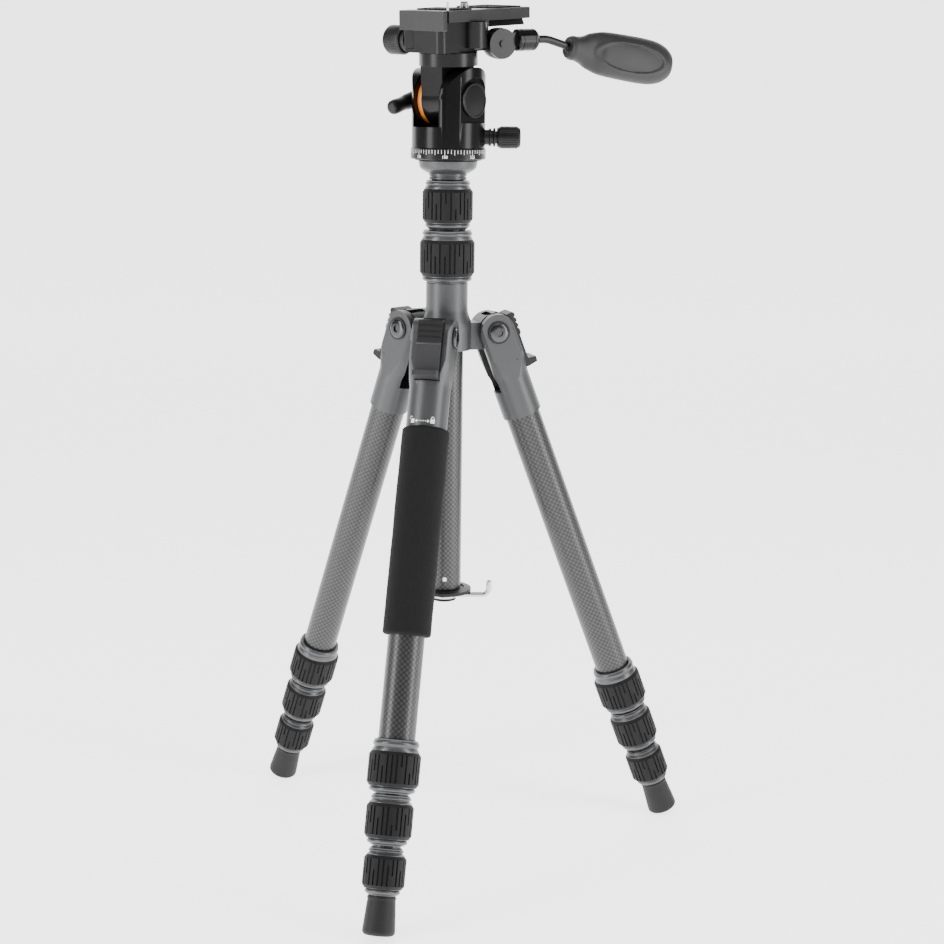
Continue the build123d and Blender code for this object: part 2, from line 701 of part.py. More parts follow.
# ---- clamp: body with the fixed jaw, the front stop and the handle's mount ----
slab_bottom = plate_top - plate_thickness
dovetail_bottom = slab_bottom - dovetail_height
jaw_top = slab_bottom - plate_clearance
channel_floor = dovetail_bottom - plate_clearance
foot_side = dovetail_foot / 2 + dovetail_play
neck_side = dovetail_neck / 2 + dovetail_play
handle = Plane(head.location * Location((boss_place[0], boss_place[1], handle_height))
               * Location((0, 0, 0), (0, 0, handle_turn)))
handle_side = on(handle, Plane.XZ)
rosette_radius = rosette_diameter / 2
with BuildPart() as clamp_body:
    with BuildSketch(head_end.offset(clamp_back)):
        with BuildLine():
            Polyline((jaw_left + clamp_bevel, stem_neck_top), (clamp_right, stem_neck_top),
                     (clamp_right, jaw_top), (jaw_split, jaw_top), (jaw_split, clamp_floor),
                     (jaw_left + clamp_bevel, clamp_floor), close=True)
        make_face()
    extrude(amount=clamp_front - clamp_back)
    with BuildSketch(head):
        with Locations(((clamp_front + clamp_back) / 2, (clamp_right + jaw_left) / 2)):
            RectangleRounded(clamp_front - clamp_back, clamp_right - jaw_left, clamp_corner)
    extrude(amount=plate_top, mode=Mode.INTERSECT)
    with BuildSketch(head.offset(clamp_floor)):
        with Locations(boss_place):
            Circle(boss_diameter / 2)
    extrude(amount=jaw_top - clamp_floor)
    # the dovetail channel, up to the stop
    with BuildSketch(head_end.offset(clamp_back - boss_diameter)):
        Polygon((-foot_side, channel_floor), (foot_side, channel_floor), (neck_side, jaw_top),
                (neck_side, plate_top), (-neck_side, plate_top), (-neck_side, jaw_top), align=None)
    extrude(amount=stop_front + boss_diameter - clamp_back, mode=Mode.SUBTRACT)
    with BuildSketch(head_end.offset(stop_front - stop_thickness)):
        with Locations((0, (stop_bottom + plate_top) / 2)):
            RectangleRounded(plate_width, plate_top - stop_bottom, stop_corner)
    extrude(amount=stop_thickness)
    # arm and fixed half of the rosette
    with BuildSketch(handle_side.offset(-rosette_gap)):
        with Locations((rosette_reach / 2, rod_offset)):
            Rectangle(rosette_reach, rosette_arm_height)
        with Locations((rosette_reach, 0)):
            Circle(rosette_radius)
    extrude(amount=-rosette_thickness)
    with BuildSketch(handle_side):
        with Locations((rosette_reach, 0)):
            Circle(rosette_pin_diameter / 2 + running_fit)
    extrude(amount=-3 * rosette_thickness, mode=Mode.SUBTRACT)
    with BuildSketch(head_side.offset(-clamp_screw_end)):
        with Locations(clamp_knob_place):
            Circle(clamp_screw_diameter / 2 + running_fit)
    extrude(amount=plate_width, mode=Mode.SUBTRACT)
finish(clamp_body, "clamp_body")

with BuildPart() as jaw:
    with BuildSketch(head_end.offset(clamp_back)):
        with BuildLine():
            Polyline((jaw_left, clamp_floor + jaw_gap), (jaw_split - jaw_gap, clamp_floor + jaw_gap),
                     (jaw_split - jaw_gap, channel_floor), (-foot_side, channel_floor),
                     (-neck_side, jaw_top), (-clamp_right, jaw_top), (-clamp_right, clamp_top),
                     (jaw_left, clamp_top - jaw_slope), close=True)
        make_face()
    extrude(amount=clamp_front - clamp_back)
    with BuildSketch(head):
        with Locations(((clamp_front + clamp_back) / 2, (clamp_right + jaw_left) / 2)):
            RectangleRounded(clamp_front - clamp_back, clamp_right - jaw_left, clamp_corner)
    extrude(amount=plate_top, mode=Mode.INTERSECT)
    # room for the stop over the jaw's front end
    with BuildSketch(head_end.offset(stop_front - stop_thickness - plate_clearance)):
        with Locations((0, stop_bottom - jaw_gap + plate_thickness)):
            Rectangle(2 * plate_width, 2 * plate_thickness)
    extrude(amount=2 * stop_thickness, mode=Mode.SUBTRACT)
    with BuildSketch(head_side):
        with Locations(clamp_knob_place):
            Circle(clamp_screw_diameter / 2 + running_fit)
    extrude(amount=plate_width, mode=Mode.SUBTRACT)
finish(jaw, "clamp_jaw")

knob_end = -jaw_left + clamp_knob_gap
with BuildPart() as clamp_knob:
    with BuildSketch(head_side.offset(clamp_screw_end + plate_clearance)):
        with Locations(clamp_knob_place):
            Circle(clamp_screw_diameter / 2)
    extrude(amount=knob_end - clamp_screw_end)
    with BuildSketch(head_side.offset(knob_end)):
        with Locations(clamp_knob_place):
            Circle(clamp_knob_diameter / 2)
    extrude(amount=clamp_knob_length)
    chamfer(clamp_knob.edges().filter_by(GeomType.CIRCLE).sort_by(Axis(head.origin, -head.y_dir))[-1], knob_edge)
finish(clamp_knob, "clamp_knob")

# ---- quick plate with its dovetail, pads, camera screw and spring pin ----
screw_bore = camera_thread_diameter / 2 + running_fit
with BuildPart() as plate:
    with BuildSketch(head_end.offset(plate_front)):
        Polygon((-dovetail_foot / 2, dovetail_bottom), (dovetail_foot / 2, dovetail_bottom),
                (dovetail_neck / 2, slab_bottom), (plate_width / 2, slab_bottom),
                (plate_width / 2, plate_top - edge_break), (plate_width / 2 - edge_break, plate_top),
                (edge_break - plate_width / 2, plate_top), (-plate_width / 2, plate_top - edge_break),
                (-plate_width / 2, slab_bottom), (-dovetail_neck / 2, slab_bottom), align=None)
    extrude(amount=-plate_length)
    with BuildSketch(head.offset(dovetail_bottom)):
        with Locations((camera_screw_place, 0)):
            Circle(camera_head_diameter / 2 + running_fit)
    extrude(amount=dovetail_height - plate_clearance, mode=Mode.SUBTRACT)
    with BuildSketch(head.offset(dovetail_bottom)):
        with Locations((camera_screw_place, 0)):
            Circle(screw_bore)
        with Locations(twist_pin_place):
            Circle(twist_pin_diameter / 2 + running_fit)
    extrude(amount=2 * plate_thickness, mode=Mode.SUBTRACT)
finish(plate, "quick_plate")

with BuildPart() as rubber_pads:
    with BuildSketch(head.offset(plate_top)):
        for front_end, back_end in pads:
            with Locations(((front_end + back_end) / 2, 0)):
                RectangleRounded(front_end - back_end, pad_width, pad_corner)
    extrude(amount=pad_thickness)
finish(rubber_pads, "plate_pads")

screw_head_bottom = dovetail_bottom + plate_clearance / 2
screw_head_top = slab_bottom - 2 * plate_clearance - running_fit
with BuildPart() as camera_screw:
    with BuildSketch(head.offset(screw_head_bottom)):
        with Locations((camera_screw_place, 0)):
            Circle(camera_head_diameter / 2)
    extrude(amount=screw_head_top - screw_head_bottom)
    # the shank under the thread is thinner, so the screw stays in the plate
    with BuildSketch(head.offset(screw_head_top)):
        with Locations((camera_screw_place, 0)):
            Circle(camera_shank_diameter / 2)
    extrude(amount=plate_top - screw_head_top)
    with BuildSketch(head.offset(plate_top)):
        with Locations((camera_screw_place, 0)):
            Circle(camera_thread_diameter / 2)
    extrude(amount=camera_stud)
finish(camera_screw, "camera_screw")

with BuildPart() as twist_pin:
    with BuildSketch(head.offset(plate_top - twist_pin_depth)):
        with Locations(twist_pin_place):
            Circle(twist_pin_diameter / 2)
    extrude(amount=twist_pin_depth + twist_pin_rise)
finish(twist_pin, "twist_pin")

# ---- handle: rosette lug, barrel nut, bent rod and grip ----
lug_middle = rosette_gap + rosette_thickness / 2
rod_line = Plane(handle.location * Location((0, -lug_middle, rod_offset)))
rod_axial = on(rod_line, Plane.YZ)
thread_end = nut_start + joint_thread_length
with BuildPart() as handle_joint:
    with BuildSketch(handle_side.offset(rosette_gap)):
        with Locations((rosette_reach, 0)):
            Circle(rosette_radius)
        with Locations(((rosette_reach + nut_start) / 2, rod_offset)):
            Rectangle(nut_start - rosette_reach, joint_thread_diameter)
    extrude(amount=rosette_thickness)
    pin_far_end = rosette_gap + rosette_thickness + rosette_pin_overhang
    with BuildSketch(handle_side.offset(-pin_far_end)):
        with Locations((rosette_reach, 0)):
            Circle(rosette_pin_diameter / 2)
    extrude(amount=2 * pin_far_end)
    with BuildSketch(rod_axial.offset(rosette_reach + rosette_radius + rosette_gap)):
        Circle(joint_thread_diameter / 2)
    extrude(amount=thread_end - rosette_reach - rosette_radius - rosette_gap)
finish(handle_joint, "handle_joint")

with BuildPart() as nut:
    with BuildSketch(rod_axial.offset(nut_start)):
        Circle(nut_diameter / 2)
    extrude(amount=nut_length)
    chamfer(nut.edges().filter_by(GeomType.CIRCLE), knob_edge)
    with BuildSketch(rod_axial.offset(nut_start)):
        Circle(joint_thread_diameter / 2 + running_fit)
    extrude(amount=joint_thread_length + lock_gap, mode=Mode.SUBTRACT)
    with BuildSketch(rod_axial.offset(nut_start)):
        Circle(handle_rod_diameter / 2 + running_fit)
    extrude(amount=nut_length, mode=Mode.SUBTRACT)
finish(nut, "handle_nut")

rod_plane = on(rod_line, Plane.XZ)
with BuildPart() as rod:
    with BuildLine(rod_plane) as path:
        FilletPolyline((thread_end, 0), (rod_bend_place, 0), (rod_end[0], rod_end[1] - rod_offset),
                       radius=rod_bend_radius)
    with BuildSketch(rod_axial.offset(thread_end)):
        Circle(handle_rod_diameter / 2)
    sweep(path=path.line)
finish(rod, "handle_rod")

grip_frame = Plane(handle.location * Location((grip_root[0], -lug_middle, grip_root[1]))
                   * Location((0, 0, 0), (0, grip_slope, 0)))
rod_tip = Plane(origin=path.line @ 1, z_dir=path.line % 1)
with BuildPart() as handle_grip:
    for distance, half_height, half_width in handle_grip_sections:
        with BuildSketch(on(grip_frame, Plane.YZ).offset(distance)):
            Ellipse(half_width, half_height)
    loft()
    with BuildSketch(rod_tip):
        Circle(handle_rod_diameter / 2)
    extrude(amount=-rod_socket, mode=Mode.SUBTRACT)
finish(handle_grip, "handle_grip")
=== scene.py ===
import json
from math import atan2, cos, floor, hypot, pi, radians, sin, sqrt, tau

import bmesh
import bpy
from mathutils import Matrix, Vector, noise


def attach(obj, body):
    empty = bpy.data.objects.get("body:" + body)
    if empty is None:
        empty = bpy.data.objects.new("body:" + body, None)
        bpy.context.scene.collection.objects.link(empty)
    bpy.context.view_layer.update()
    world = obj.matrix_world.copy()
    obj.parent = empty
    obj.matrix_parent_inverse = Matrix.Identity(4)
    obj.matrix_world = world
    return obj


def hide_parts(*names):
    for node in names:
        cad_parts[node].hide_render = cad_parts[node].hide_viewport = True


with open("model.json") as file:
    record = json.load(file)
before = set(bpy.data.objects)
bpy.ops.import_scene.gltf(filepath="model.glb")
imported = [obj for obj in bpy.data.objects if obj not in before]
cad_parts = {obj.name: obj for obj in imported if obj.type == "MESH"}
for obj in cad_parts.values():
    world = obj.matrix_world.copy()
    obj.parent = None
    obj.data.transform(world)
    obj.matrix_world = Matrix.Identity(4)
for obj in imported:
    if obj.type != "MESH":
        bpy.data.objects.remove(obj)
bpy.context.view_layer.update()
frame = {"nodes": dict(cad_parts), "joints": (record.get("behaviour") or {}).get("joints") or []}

joints = {joint["name"]: joint for joint in frame["joints"]}

# ---- camera ----
# It stands in front of the front leg, turned a little to its left, and looks down on the feet.
camera_distance = 1.356863
camera_height = 0.571323
camera_azimuth = radians(13.32)
camera_pan = radians(0.85)
camera_pitch = radians(-11.67)
camera_roll = radians(0.7)
focal_length = 70.25
sensor_width = 36.0
forward = Vector((sin(camera_pan) * cos(camera_pitch), cos(camera_pan) * cos(camera_pitch),
                  sin(camera_pitch)))
level_right = Vector((cos(camera_pan), -sin(camera_pan), 0))
level_up = level_right.cross(forward)
right = level_right * cos(camera_roll) + level_up * sin(camera_roll)
up = level_up * cos(camera_roll) - level_right * sin(camera_roll)
lens = bpy.data.cameras.new("camera")
lens.lens = focal_length
lens.sensor_width = sensor_width
camera = bpy.data.objects.new("camera", lens)
bpy.context.collection.objects.link(camera)
stand = Matrix((right, up, -forward)).transposed().to_4x4()
stand.translation = (0, -camera_distance, camera_height)
camera.matrix_world = Matrix.Rotation(camera_azimuth, 4, "Z") @ stand
bpy.context.scene.camera = camera

# ---- floor and light ----
# A glowing white sheet that runs up behind the tripod in one sweep, and soft boxes at both sides and
# above, so that round dark metal shows two soft bands.
world = bpy.data.worlds.new("studio")
bpy.context.scene.world = world
world.use_nodes = True
world.node_tree.nodes["Background"].inputs["Color"].default_value = (1, 1, 1, 1)
world.node_tree.nodes["Background"].inputs["Strength"].default_value = 0.3


def deselect():
    if bpy.context.mode != "OBJECT":
        bpy.ops.object.mode_set(mode="OBJECT")
    bpy.ops.object.select_all(action="DESELECT")


def take(piece):
    """Makes a piece the only one selected."""
    deselect()
    bpy.context.view_layer.objects.active = piece
    piece.select_set(True)


def apply_place():
    bpy.ops.object.transform_apply(location=True, rotation=True, scale=True)


def new_material(name, colour, roughness, metallic=0.0, coat=0.0):
    """A material with its even values set on the shader; returns it, its node tree and the shader."""
    material = bpy.data.materials.new(name)
    material.use_nodes = True
    tree = material.node_tree
    shader = tree.nodes["Principled BSDF"]
    shader.inputs["Base Color"].default_value = (*colour, 1)
    shader.inputs["Roughness"].default_value = roughness
    shader.inputs["Metallic"].default_value = metallic
    shader.inputs["Coat Weight"].default_value = coat
    shader.inputs["Coat Roughness"].default_value = 0.12
    return material, tree, shader


def soft_box(name, place, aim, size, power):
    """A square lamp that faces a point."""
    lamp = bpy.data.lights.new(name, "AREA")
    lamp.shape = "RECTANGLE"
    lamp.size, lamp.size_y = size
    lamp.energy = power
    box = bpy.data.objects.new(name, lamp)
    bpy.context.collection.objects.link(box)
    place = Matrix.Rotation(camera_azimuth, 3, "Z") @ Vector(place)
    box.rotation_euler = (Vector(aim) - place).to_track_quat("-Z", "Y").to_euler()
    box.location = place


deselect()
sheet_size = 14
sweep_start = 3.0
sweep_steps = 12
sweep_step = 0.5
sweep_turn = radians(90 / sweep_steps)
wall_height = 4
bpy.ops.mesh.primitive_plane_add(size=sheet_size, location=(0, 0, -0.0002),
                                 rotation=(0, 0, camera_azimuth))
floor_sheet = bpy.context.object
floor_sheet.name = "floor"
bpy.ops.object.mode_set(mode="EDIT")
bpy.ops.mesh.select_all(action="DESELECT")
sheet = bmesh.from_edit_mesh(floor_sheet.data)
for edge in sheet.edges:
    edge.select = all(vertex.co.y > 0.49 * sheet_size for vertex in edge.verts)
bmesh.update_edit_mesh(floor_sheet.data)
bpy.ops.transform.translate(value=(0, sweep_start - sheet_size / 2, 0), orient_type="LOCAL")
for step in range(1, sweep_steps + 1):
    move = (0, sweep_step * cos(sweep_turn * step), sweep_step * sin(sweep_turn * step))
    bpy.ops.mesh.extrude_region_move(TRANSFORM_OT_translate={"value": move, "orient_type": "LOCAL"})
bpy.ops.mesh.extrude_region_move(TRANSFORM_OT_translate={"value": (0, 0, wall_height)})
bpy.ops.object.mode_set(mode="OBJECT")
bpy.ops.object.shade_smooth()
floor_paint, tree, shader = new_material("floor_paint", (0.93, 0.93, 0.93), 0.9)
shader.inputs["Specular IOR Level"].default_value = 0.0
shader.inputs["Emission Color"].default_value = (1, 1, 1, 1)
shader.inputs["Emission Strength"].default_value = 2.4
floor_sheet.data.materials.append(floor_paint)
soft_box("left_box", (-1.3, -0.75, 0.75), (0, 0, 0.4), (0.5, 1.5), 22)
soft_box("right_box", (1.35, -0.65, 0.75), (0, 0, 0.4), (0.5, 1.5), 22)
soft_box("top_box", (0.0, -0.5, 1.9), (0, 0, 0.3), (1.6, 1.2), 12)

# ---- legs: where each one is ----
# Each leg has its own frame at its pivot bolt: x runs along the bolt, y out of the leg's outer face
# and z down the leg.
mm = 0.001
legs = "abc"


def placed_frame(origin, x_axis, z_axis):
    z_axis = Vector(z_axis).normalized()
    x_axis = Vector(x_axis).normalized()
    matrix = Matrix((x_axis, z_axis.cross(x_axis), z_axis)).transposed().to_4x4()
    matrix.translation = Vector(origin)
    return matrix


def span(node, place):
    """Lowest and highest corner of a CAD node in a frame's own axes, in millimetres."""
    inverse = place.inverted()
    corners = [inverse @ vertex.co / mm for vertex in frame["nodes"][node].data.vertices]
    low = Vector(min(corner[axis] for corner in corners) for axis in range(3))
    high = Vector(max(corner[axis] for corner in corners) for axis in range(3))
    return low, high


leg_frames = {}
for leg in legs:
    spread = joints[f"leg_{leg}_spread"]
    leg_frames[leg] = placed_frame(spread["pos_m"], -Vector(spread["axis"]),
                                   joints[f"leg_{leg}_section_2_slide"]["axis"])
upright = Matrix.Identity(4)

# ---- leg castings ----
# Die-cast aluminium, blasted and anodised in a satin dark grey, with machined fork faces.
# Each is a socket for the top tube, and its two ears hold the pivot bolt.


def node_group(name, inputs, outputs):
    """An empty shader group with named sockets; returns its tree and its input and output nodes."""
    tree = bpy.data.node_groups.new(name, "ShaderNodeTree")
    for label, kind, value in inputs:
        socket = tree.interface.new_socket(label, in_out="INPUT", socket_type=kind)
        if value is not None:
            socket.default_value = value
    for label, kind in outputs:
        tree.interface.new_socket(label, in_out="OUTPUT", socket_type=kind)
    return tree, tree.nodes.new("NodeGroupInput"), tree.nodes.new("NodeGroupOutput")


def calculate(tree, operation, first, second=0.0, third=0.0):
    """A maths node; each operand is a socket or a number."""
    node = tree.nodes.new("ShaderNodeMath")
    node.operation = operation
    for socket, value in zip(node.inputs, (first, second, third)):
        if isinstance(value, (int, float)):
            socket.default_value = value
        else:
            tree.links.new(value, socket)
    return node.outputs[0]


def blend_colours(tree, share, first, second):
    node = tree.nodes.new("ShaderNodeMix")
    node.data_type = "RGBA"
    for socket, value in ((node.inputs[0], share), (node.inputs[6], first), (node.inputs[7], second)):
        if isinstance(value, (int, float, tuple)):
            socket.default_value = value
        else:
            tree.links.new(value, socket)
    return node.outputs[2]


def coordinates(tree, place=upright, stretch=(1, 1, 1)):
    """Object coordinates turned into a piece's own frame, and drawn out along its axes."""
    source = tree.nodes.new("ShaderNodeTexCoord")
    mapping = tree.nodes.new("ShaderNodeMapping")
    mapping.vector_type = "TEXTURE"
    mapping.inputs["Location"].default_value = place.translation
    mapping.inputs["Rotation"].default_value = place.to_euler()
    mapping.inputs["Scale"].default_value = stretch
    tree.links.new(source.outputs["Object"], mapping.inputs["Vector"])
    return mapping.outputs["Vector"]


# cast, blasted or moulded surface: cloudy tone, fine grain, and a few brighter specks
grain, given, made = node_group("surface_grain", (
    ("Vector", "NodeSocketVector", None), ("Tone", "NodeSocketColor", (0.2, 0.2, 0.2, 1)),
    ("Cloud", "NodeSocketFloat", 0.2), ("Speck", "NodeSocketFloat", 0.15),
    ("Grain size", "NodeSocketFloat", 2500.0), ("Roughness", "NodeSocketFloat", 0.5),
    ("Roughness spread", "NodeSocketFloat", 0.1)), (
    ("Colour", "NodeSocketColor"), ("Roughness", "NodeSocketFloat"), ("Height", "NodeSocketFloat")))
cloud = grain.nodes.new("ShaderNodeTexNoise")
cloud.inputs["Scale"].default_value = 60
cloud.inputs["Detail"].default_value = 4
fine = grain.nodes.new("ShaderNodeTexNoise")
fine.inputs["Detail"].default_value = 3
grain.links.new(given.outputs["Vector"], cloud.inputs["Vector"])
grain.links.new(given.outputs["Vector"], fine.inputs["Vector"])
grain.links.new(given.outputs["Grain size"], fine.inputs["Scale"])
cloud_part = calculate(grain, "MULTIPLY", calculate(grain, "SUBTRACT", cloud.outputs[0], 0.5),
                       given.outputs["Cloud"])
speck_part = calculate(grain, "MULTIPLY", calculate(grain, "SUBTRACT", fine.outputs[0], 0.5),
                       given.outputs["Speck"])
strength = calculate(grain, "ADD", calculate(grain, "ADD", cloud_part, speck_part), 1.0)
toned = grain.nodes.new("ShaderNodeVectorMath")
toned.operation = "SCALE"
grain.links.new(given.outputs["Tone"], toned.inputs[0])
grain.links.new(strength, toned.inputs["Scale"])
grain.links.new(toned.outputs[0], made.inputs["Colour"])
swing = calculate(grain, "MULTIPLY", calculate(grain, "SUBTRACT", cloud.outputs[0], 0.5),
                  given.outputs["Roughness spread"])
grain.links.new(calculate(grain, "ADD", swing, given.outputs["Roughness"]), made.inputs["Roughness"])
grain.links.new(fine.outputs[0], made.inputs["Height"])


def surface_from(group, tree, shader, place, relief, depth, stretch=(1, 1, 1)):
    """Gives a shader its colour, roughness and normal from a group; returns the group's node."""
    node = tree.nodes.new("ShaderNodeGroup")
    node.node_tree = group
    tree.links.new(coordinates(tree, place, stretch), node.inputs["Vector"])
    bump = tree.nodes.new("ShaderNodeBump")
    bump.inputs["Strength"].default_value = relief
    bump.inputs["Distance"].default_value = depth * mm
    tree.links.new(node.outputs["Height"], bump.inputs["Height"])
    tree.links.new(node.outputs["Colour"], shader.inputs["Base Color"])
    tree.links.new(node.outputs["Roughness"], shader.inputs["Roughness"])
    tree.links.new(bump.outputs["Normal"], shader.inputs["Normal"])
    return node


def grained(name, colour, roughness, metallic=0.0, cloud=0.2, speck=0.2, size=2500.0, depth=0.02,
            place=upright, stretch=(1, 1, 1), shine=0.5):
    """A material whose tone, roughness and surface come from the grain group."""
    material, tree, shader = new_material(name, colour, roughness, metallic)
    shader.inputs["Specular IOR Level"].default_value = shine
    node = surface_from(grain, tree, shader, place, 0.6, depth, stretch)
    node.inputs["Tone"].default_value = (*colour, 1)
    node.inputs["Cloud"].default_value = cloud
    node.inputs["Speck"].default_value = speck
    node.inputs["Grain size"].default_value = size
    node.inputs["Roughness"].default_value = roughness
    return material


def choose(piece, kind, test):
    """Selects the faces, edges or vertices of a piece in edit mode that pass a test."""
    mesh = bmesh.from_edit_mesh(piece.data)
    for group in (mesh.verts, mesh.edges, mesh.faces):
        for element in group:
            element.select = False
    for element in getattr(mesh, kind):
        element.select = bool(test(element))
    mesh.select_flush_mode()
    bmesh.update_edit_mesh(piece.data)


def pull_rim(piece, reach, height=None):
    """Moves the selected ring of vertices to a radius, and to a height where one is given."""
    for vertex in bmesh.from_edit_mesh(piece.data).verts:
        if vertex.select:
            ring = hypot(vertex.co.x, vertex.co.y)
            vertex.co = (vertex.co.x * reach / ring, vertex.co.y * reach / ring,
                         vertex.co.z if height is None else height)
    bmesh.update_edit_mesh(piece.data)


def edit(piece, mode="FACE"):
    take(piece)
    bpy.ops.object.mode_set(mode="EDIT")
    bpy.ops.mesh.select_mode(type=mode)
    bpy.ops.mesh.select_all(action="SELECT")


def apply_modifiers(piece):
    take(piece)
    for modifier in list(piece.modifiers):
        bpy.ops.object.modifier_apply(modifier=modifier.name)


def settle(piece, name, material, body, place=None, smooth=35, replaces=None):
    """Puts a finished piece, modelled in millimetres, in its place; it rides on a body."""
    take(piece)
    if place is not None:
        piece.matrix_world = place @ Matrix.Scale(mm, 4) @ piece.matrix_world
        apply_place()
    bpy.ops.object.shade_smooth_by_angle(angle=radians(smooth))
    even = piece.modifiers.new("even", "WEIGHTED_NORMAL")
    even.keep_sharp = True
    bpy.ops.object.modifier_apply(modifier=even.name)
    piece.name = name
    if material is not None:
        piece.data.materials.clear()
        piece.data.materials.append(material)
    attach(piece, body)
    if replaces:
        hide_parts(replaces)


def worked_copy(node, edge=0.35, steps=2, sharp=33):
    """A CAD node's shape as one clean mesh with its sharp edges eased, in the model's own frame."""
    piece = frame["nodes"][node].copy()
    piece.data = piece.data.copy()
    piece.hide_render = piece.hide_viewport = False
    bpy.context.collection.objects.link(piece)
    place = piece.matrix_world.copy()
    piece.parent = None
    piece.matrix_world = place
    for key in list(piece.keys()):
        del piece[key]
    edit(piece, "VERT")
    bpy.ops.mesh.remove_doubles(threshold=0.004 * mm)
    bpy.ops.mesh.dissolve_limited(angle_limit=radians(0.6))
    bpy.ops.object.mode_set(mode="OBJECT")
    if edge:
        ease = piece.modifiers.new("ease", "BEVEL")
        ease.width = edge * mm
        ease.segments = steps
        ease.limit_method = "ANGLE"
        ease.angle_limit = radians(sharp)
        ease.use_clamp_overlap = True
        ease.miter_outer = "MITER_ARC"
        apply_modifiers(piece)
    return piece


def two_finishes(piece, first, second, test):
    """Gives a piece two materials: the second goes on the faces that pass a test of their centre."""
    piece.data.materials.clear()
    piece.data.materials.append(first)
    piece.data.materials.append(second)
    for face in piece.data.polygons:
        face.material_index = int(test(face.center))


cast_grey = grained("cast_grey", (0.058, 0.059, 0.061), 0.40, metallic=0.5, cloud=0.12, speck=0.5,
                    size=2600, depth=0.03)
for leg in legs:
    casting = worked_copy(f"leg_{leg}_casting", edge=0.6, steps=3)
    settle(casting, f"leg_{leg}_socket_casting", cast_grey, f"leg_{leg}",
           replaces=f"leg_{leg}_casting")

# ---- roll pins of the latches ----
# A hardened pin runs across each casting under the latch; its bright ends sit in small countersinks.
pin_place = (6.5, 24.5)


def turned(outline, steps=96):
    """A turned piece: its outline of (radius, height) points spun round the z axis."""
    deselect()
    bpy.ops.mesh.primitive_plane_add(size=1)
    piece = bpy.context.object
    edit(piece, "VERT")
    bpy.ops.mesh.delete(type="VERT")
    bpy.ops.mesh.primitive_circle_add(vertices=3, radius=1)
    mesh = bmesh.from_edit_mesh(piece.data)
    mesh.verts.ensure_lookup_table()
    bmesh.ops.delete(mesh, geom=mesh.verts[1:], context="VERTS")
    mesh.verts.ensure_lookup_table()
    mesh.verts[0].co = (outline[0][0], 0, outline[0][1])
    mesh.verts[0].select = True
    bmesh.update_edit_mesh(piece.data)
    for before, after in zip(outline, outline[1:]):
        step = (after[0] - before[0], 0, after[1] - before[1])
        bpy.ops.mesh.extrude_region_move(TRANSFORM_OT_translate={"value": step})
    bpy.ops.mesh.select_all(action="SELECT")
    bpy.ops.mesh.spin(steps=steps, angle=tau, center=(0, 0, 0), axis=(0, 0, 1))
    bpy.ops.mesh.select_all(action="SELECT")
    bpy.ops.mesh.remove_doubles(threshold=0.002)
    bpy.ops.mesh.normals_make_consistent(inside=False)
    bpy.ops.object.mode_set(mode="OBJECT")
    return piece


def rounded(radius, bottom, top, edge, inner=0.0, steps=4):
    """Outline of a disc or a ring with rounded outer edges, closed on the axis or round its bore."""
    arc = [(radius - edge + edge * sin(angle), edge - edge * cos(angle))
           for angle in (pi / 2 * step / steps for step in range(steps + 1))]
    lower = [(r, bottom + h) for r, h in arc]
    upper = [(r, top - h) for r, h in reversed(arc)]
    outline = [(inner, bottom)] + lower + upper + [(inner, top)]
    return outline + [(inner, bottom)] if inner else outline


def join(pieces):
    deselect()
    for piece in pieces:
        piece.select_set(True)
    bpy.context.view_layer.objects.active = pieces[0]
    if len(pieces) > 1:
        bpy.ops.object.join()
    return bpy.context.object


def turn_to(piece, matrix):
    """Applies a move or a turn, in millimetres, to a piece that is still being made."""
    take(piece)
    piece.matrix_world = matrix @ piece.matrix_world
    apply_place()
    return piece


bright_steel = grained("bright_steel", (0.52, 0.52, 0.54), 0.24, metallic=1.0, cloud=0.15, speck=0.1,
                       size=3000, depth=0.01)
pin_steel = grained("pin_steel", (0.06, 0.06, 0.062), 0.35, metallic=0.9, size=3000,
                    depth=0.01)
for leg in legs:
    low, high = span(f"leg_{leg}_casting", leg_frames[leg])
    ends = []
    for side in (-1, 1):
        pin = turned(rounded(1.0, -1.0, 0.06, 0.25))
        ends.append(turn_to(pin, Matrix.Translation((side * high.x, *pin_place))
                            @ Matrix.Rotation(side * pi / 2, 4, "Y")))
    settle(join(ends), f"leg_{leg}_roll_pin", pin_steel, f"leg_{leg}", leg_frames[leg])

# ---- angle latches ----
# Moulded nylon slides with a ribbed thumb end, a plain plate and a raised tab to pull.
latch_nylon = grained("latch_nylon", (0.008, 0.008, 0.0085), 0.45, shine=0.3, speck=0.3, size=2200)
latch_grey = grained("latch_grey", (0.034, 0.034, 0.036), 0.42, metallic=0.4, cloud=0.15, speck=0.3)
plate_start = 8.2
for leg in legs:
    latch = worked_copy(f"leg_{leg}_latch", edge=0.22)
    inverse = leg_frames[leg].inverted()
    two_finishes(latch, latch_nylon, latch_grey, lambda centre: (inverse @ centre).z / mm > plate_start)
    settle(latch, f"leg_{leg}_angle_latch", None, f"leg_{leg}_latch",
           replaces=f"leg_{leg}_latch")

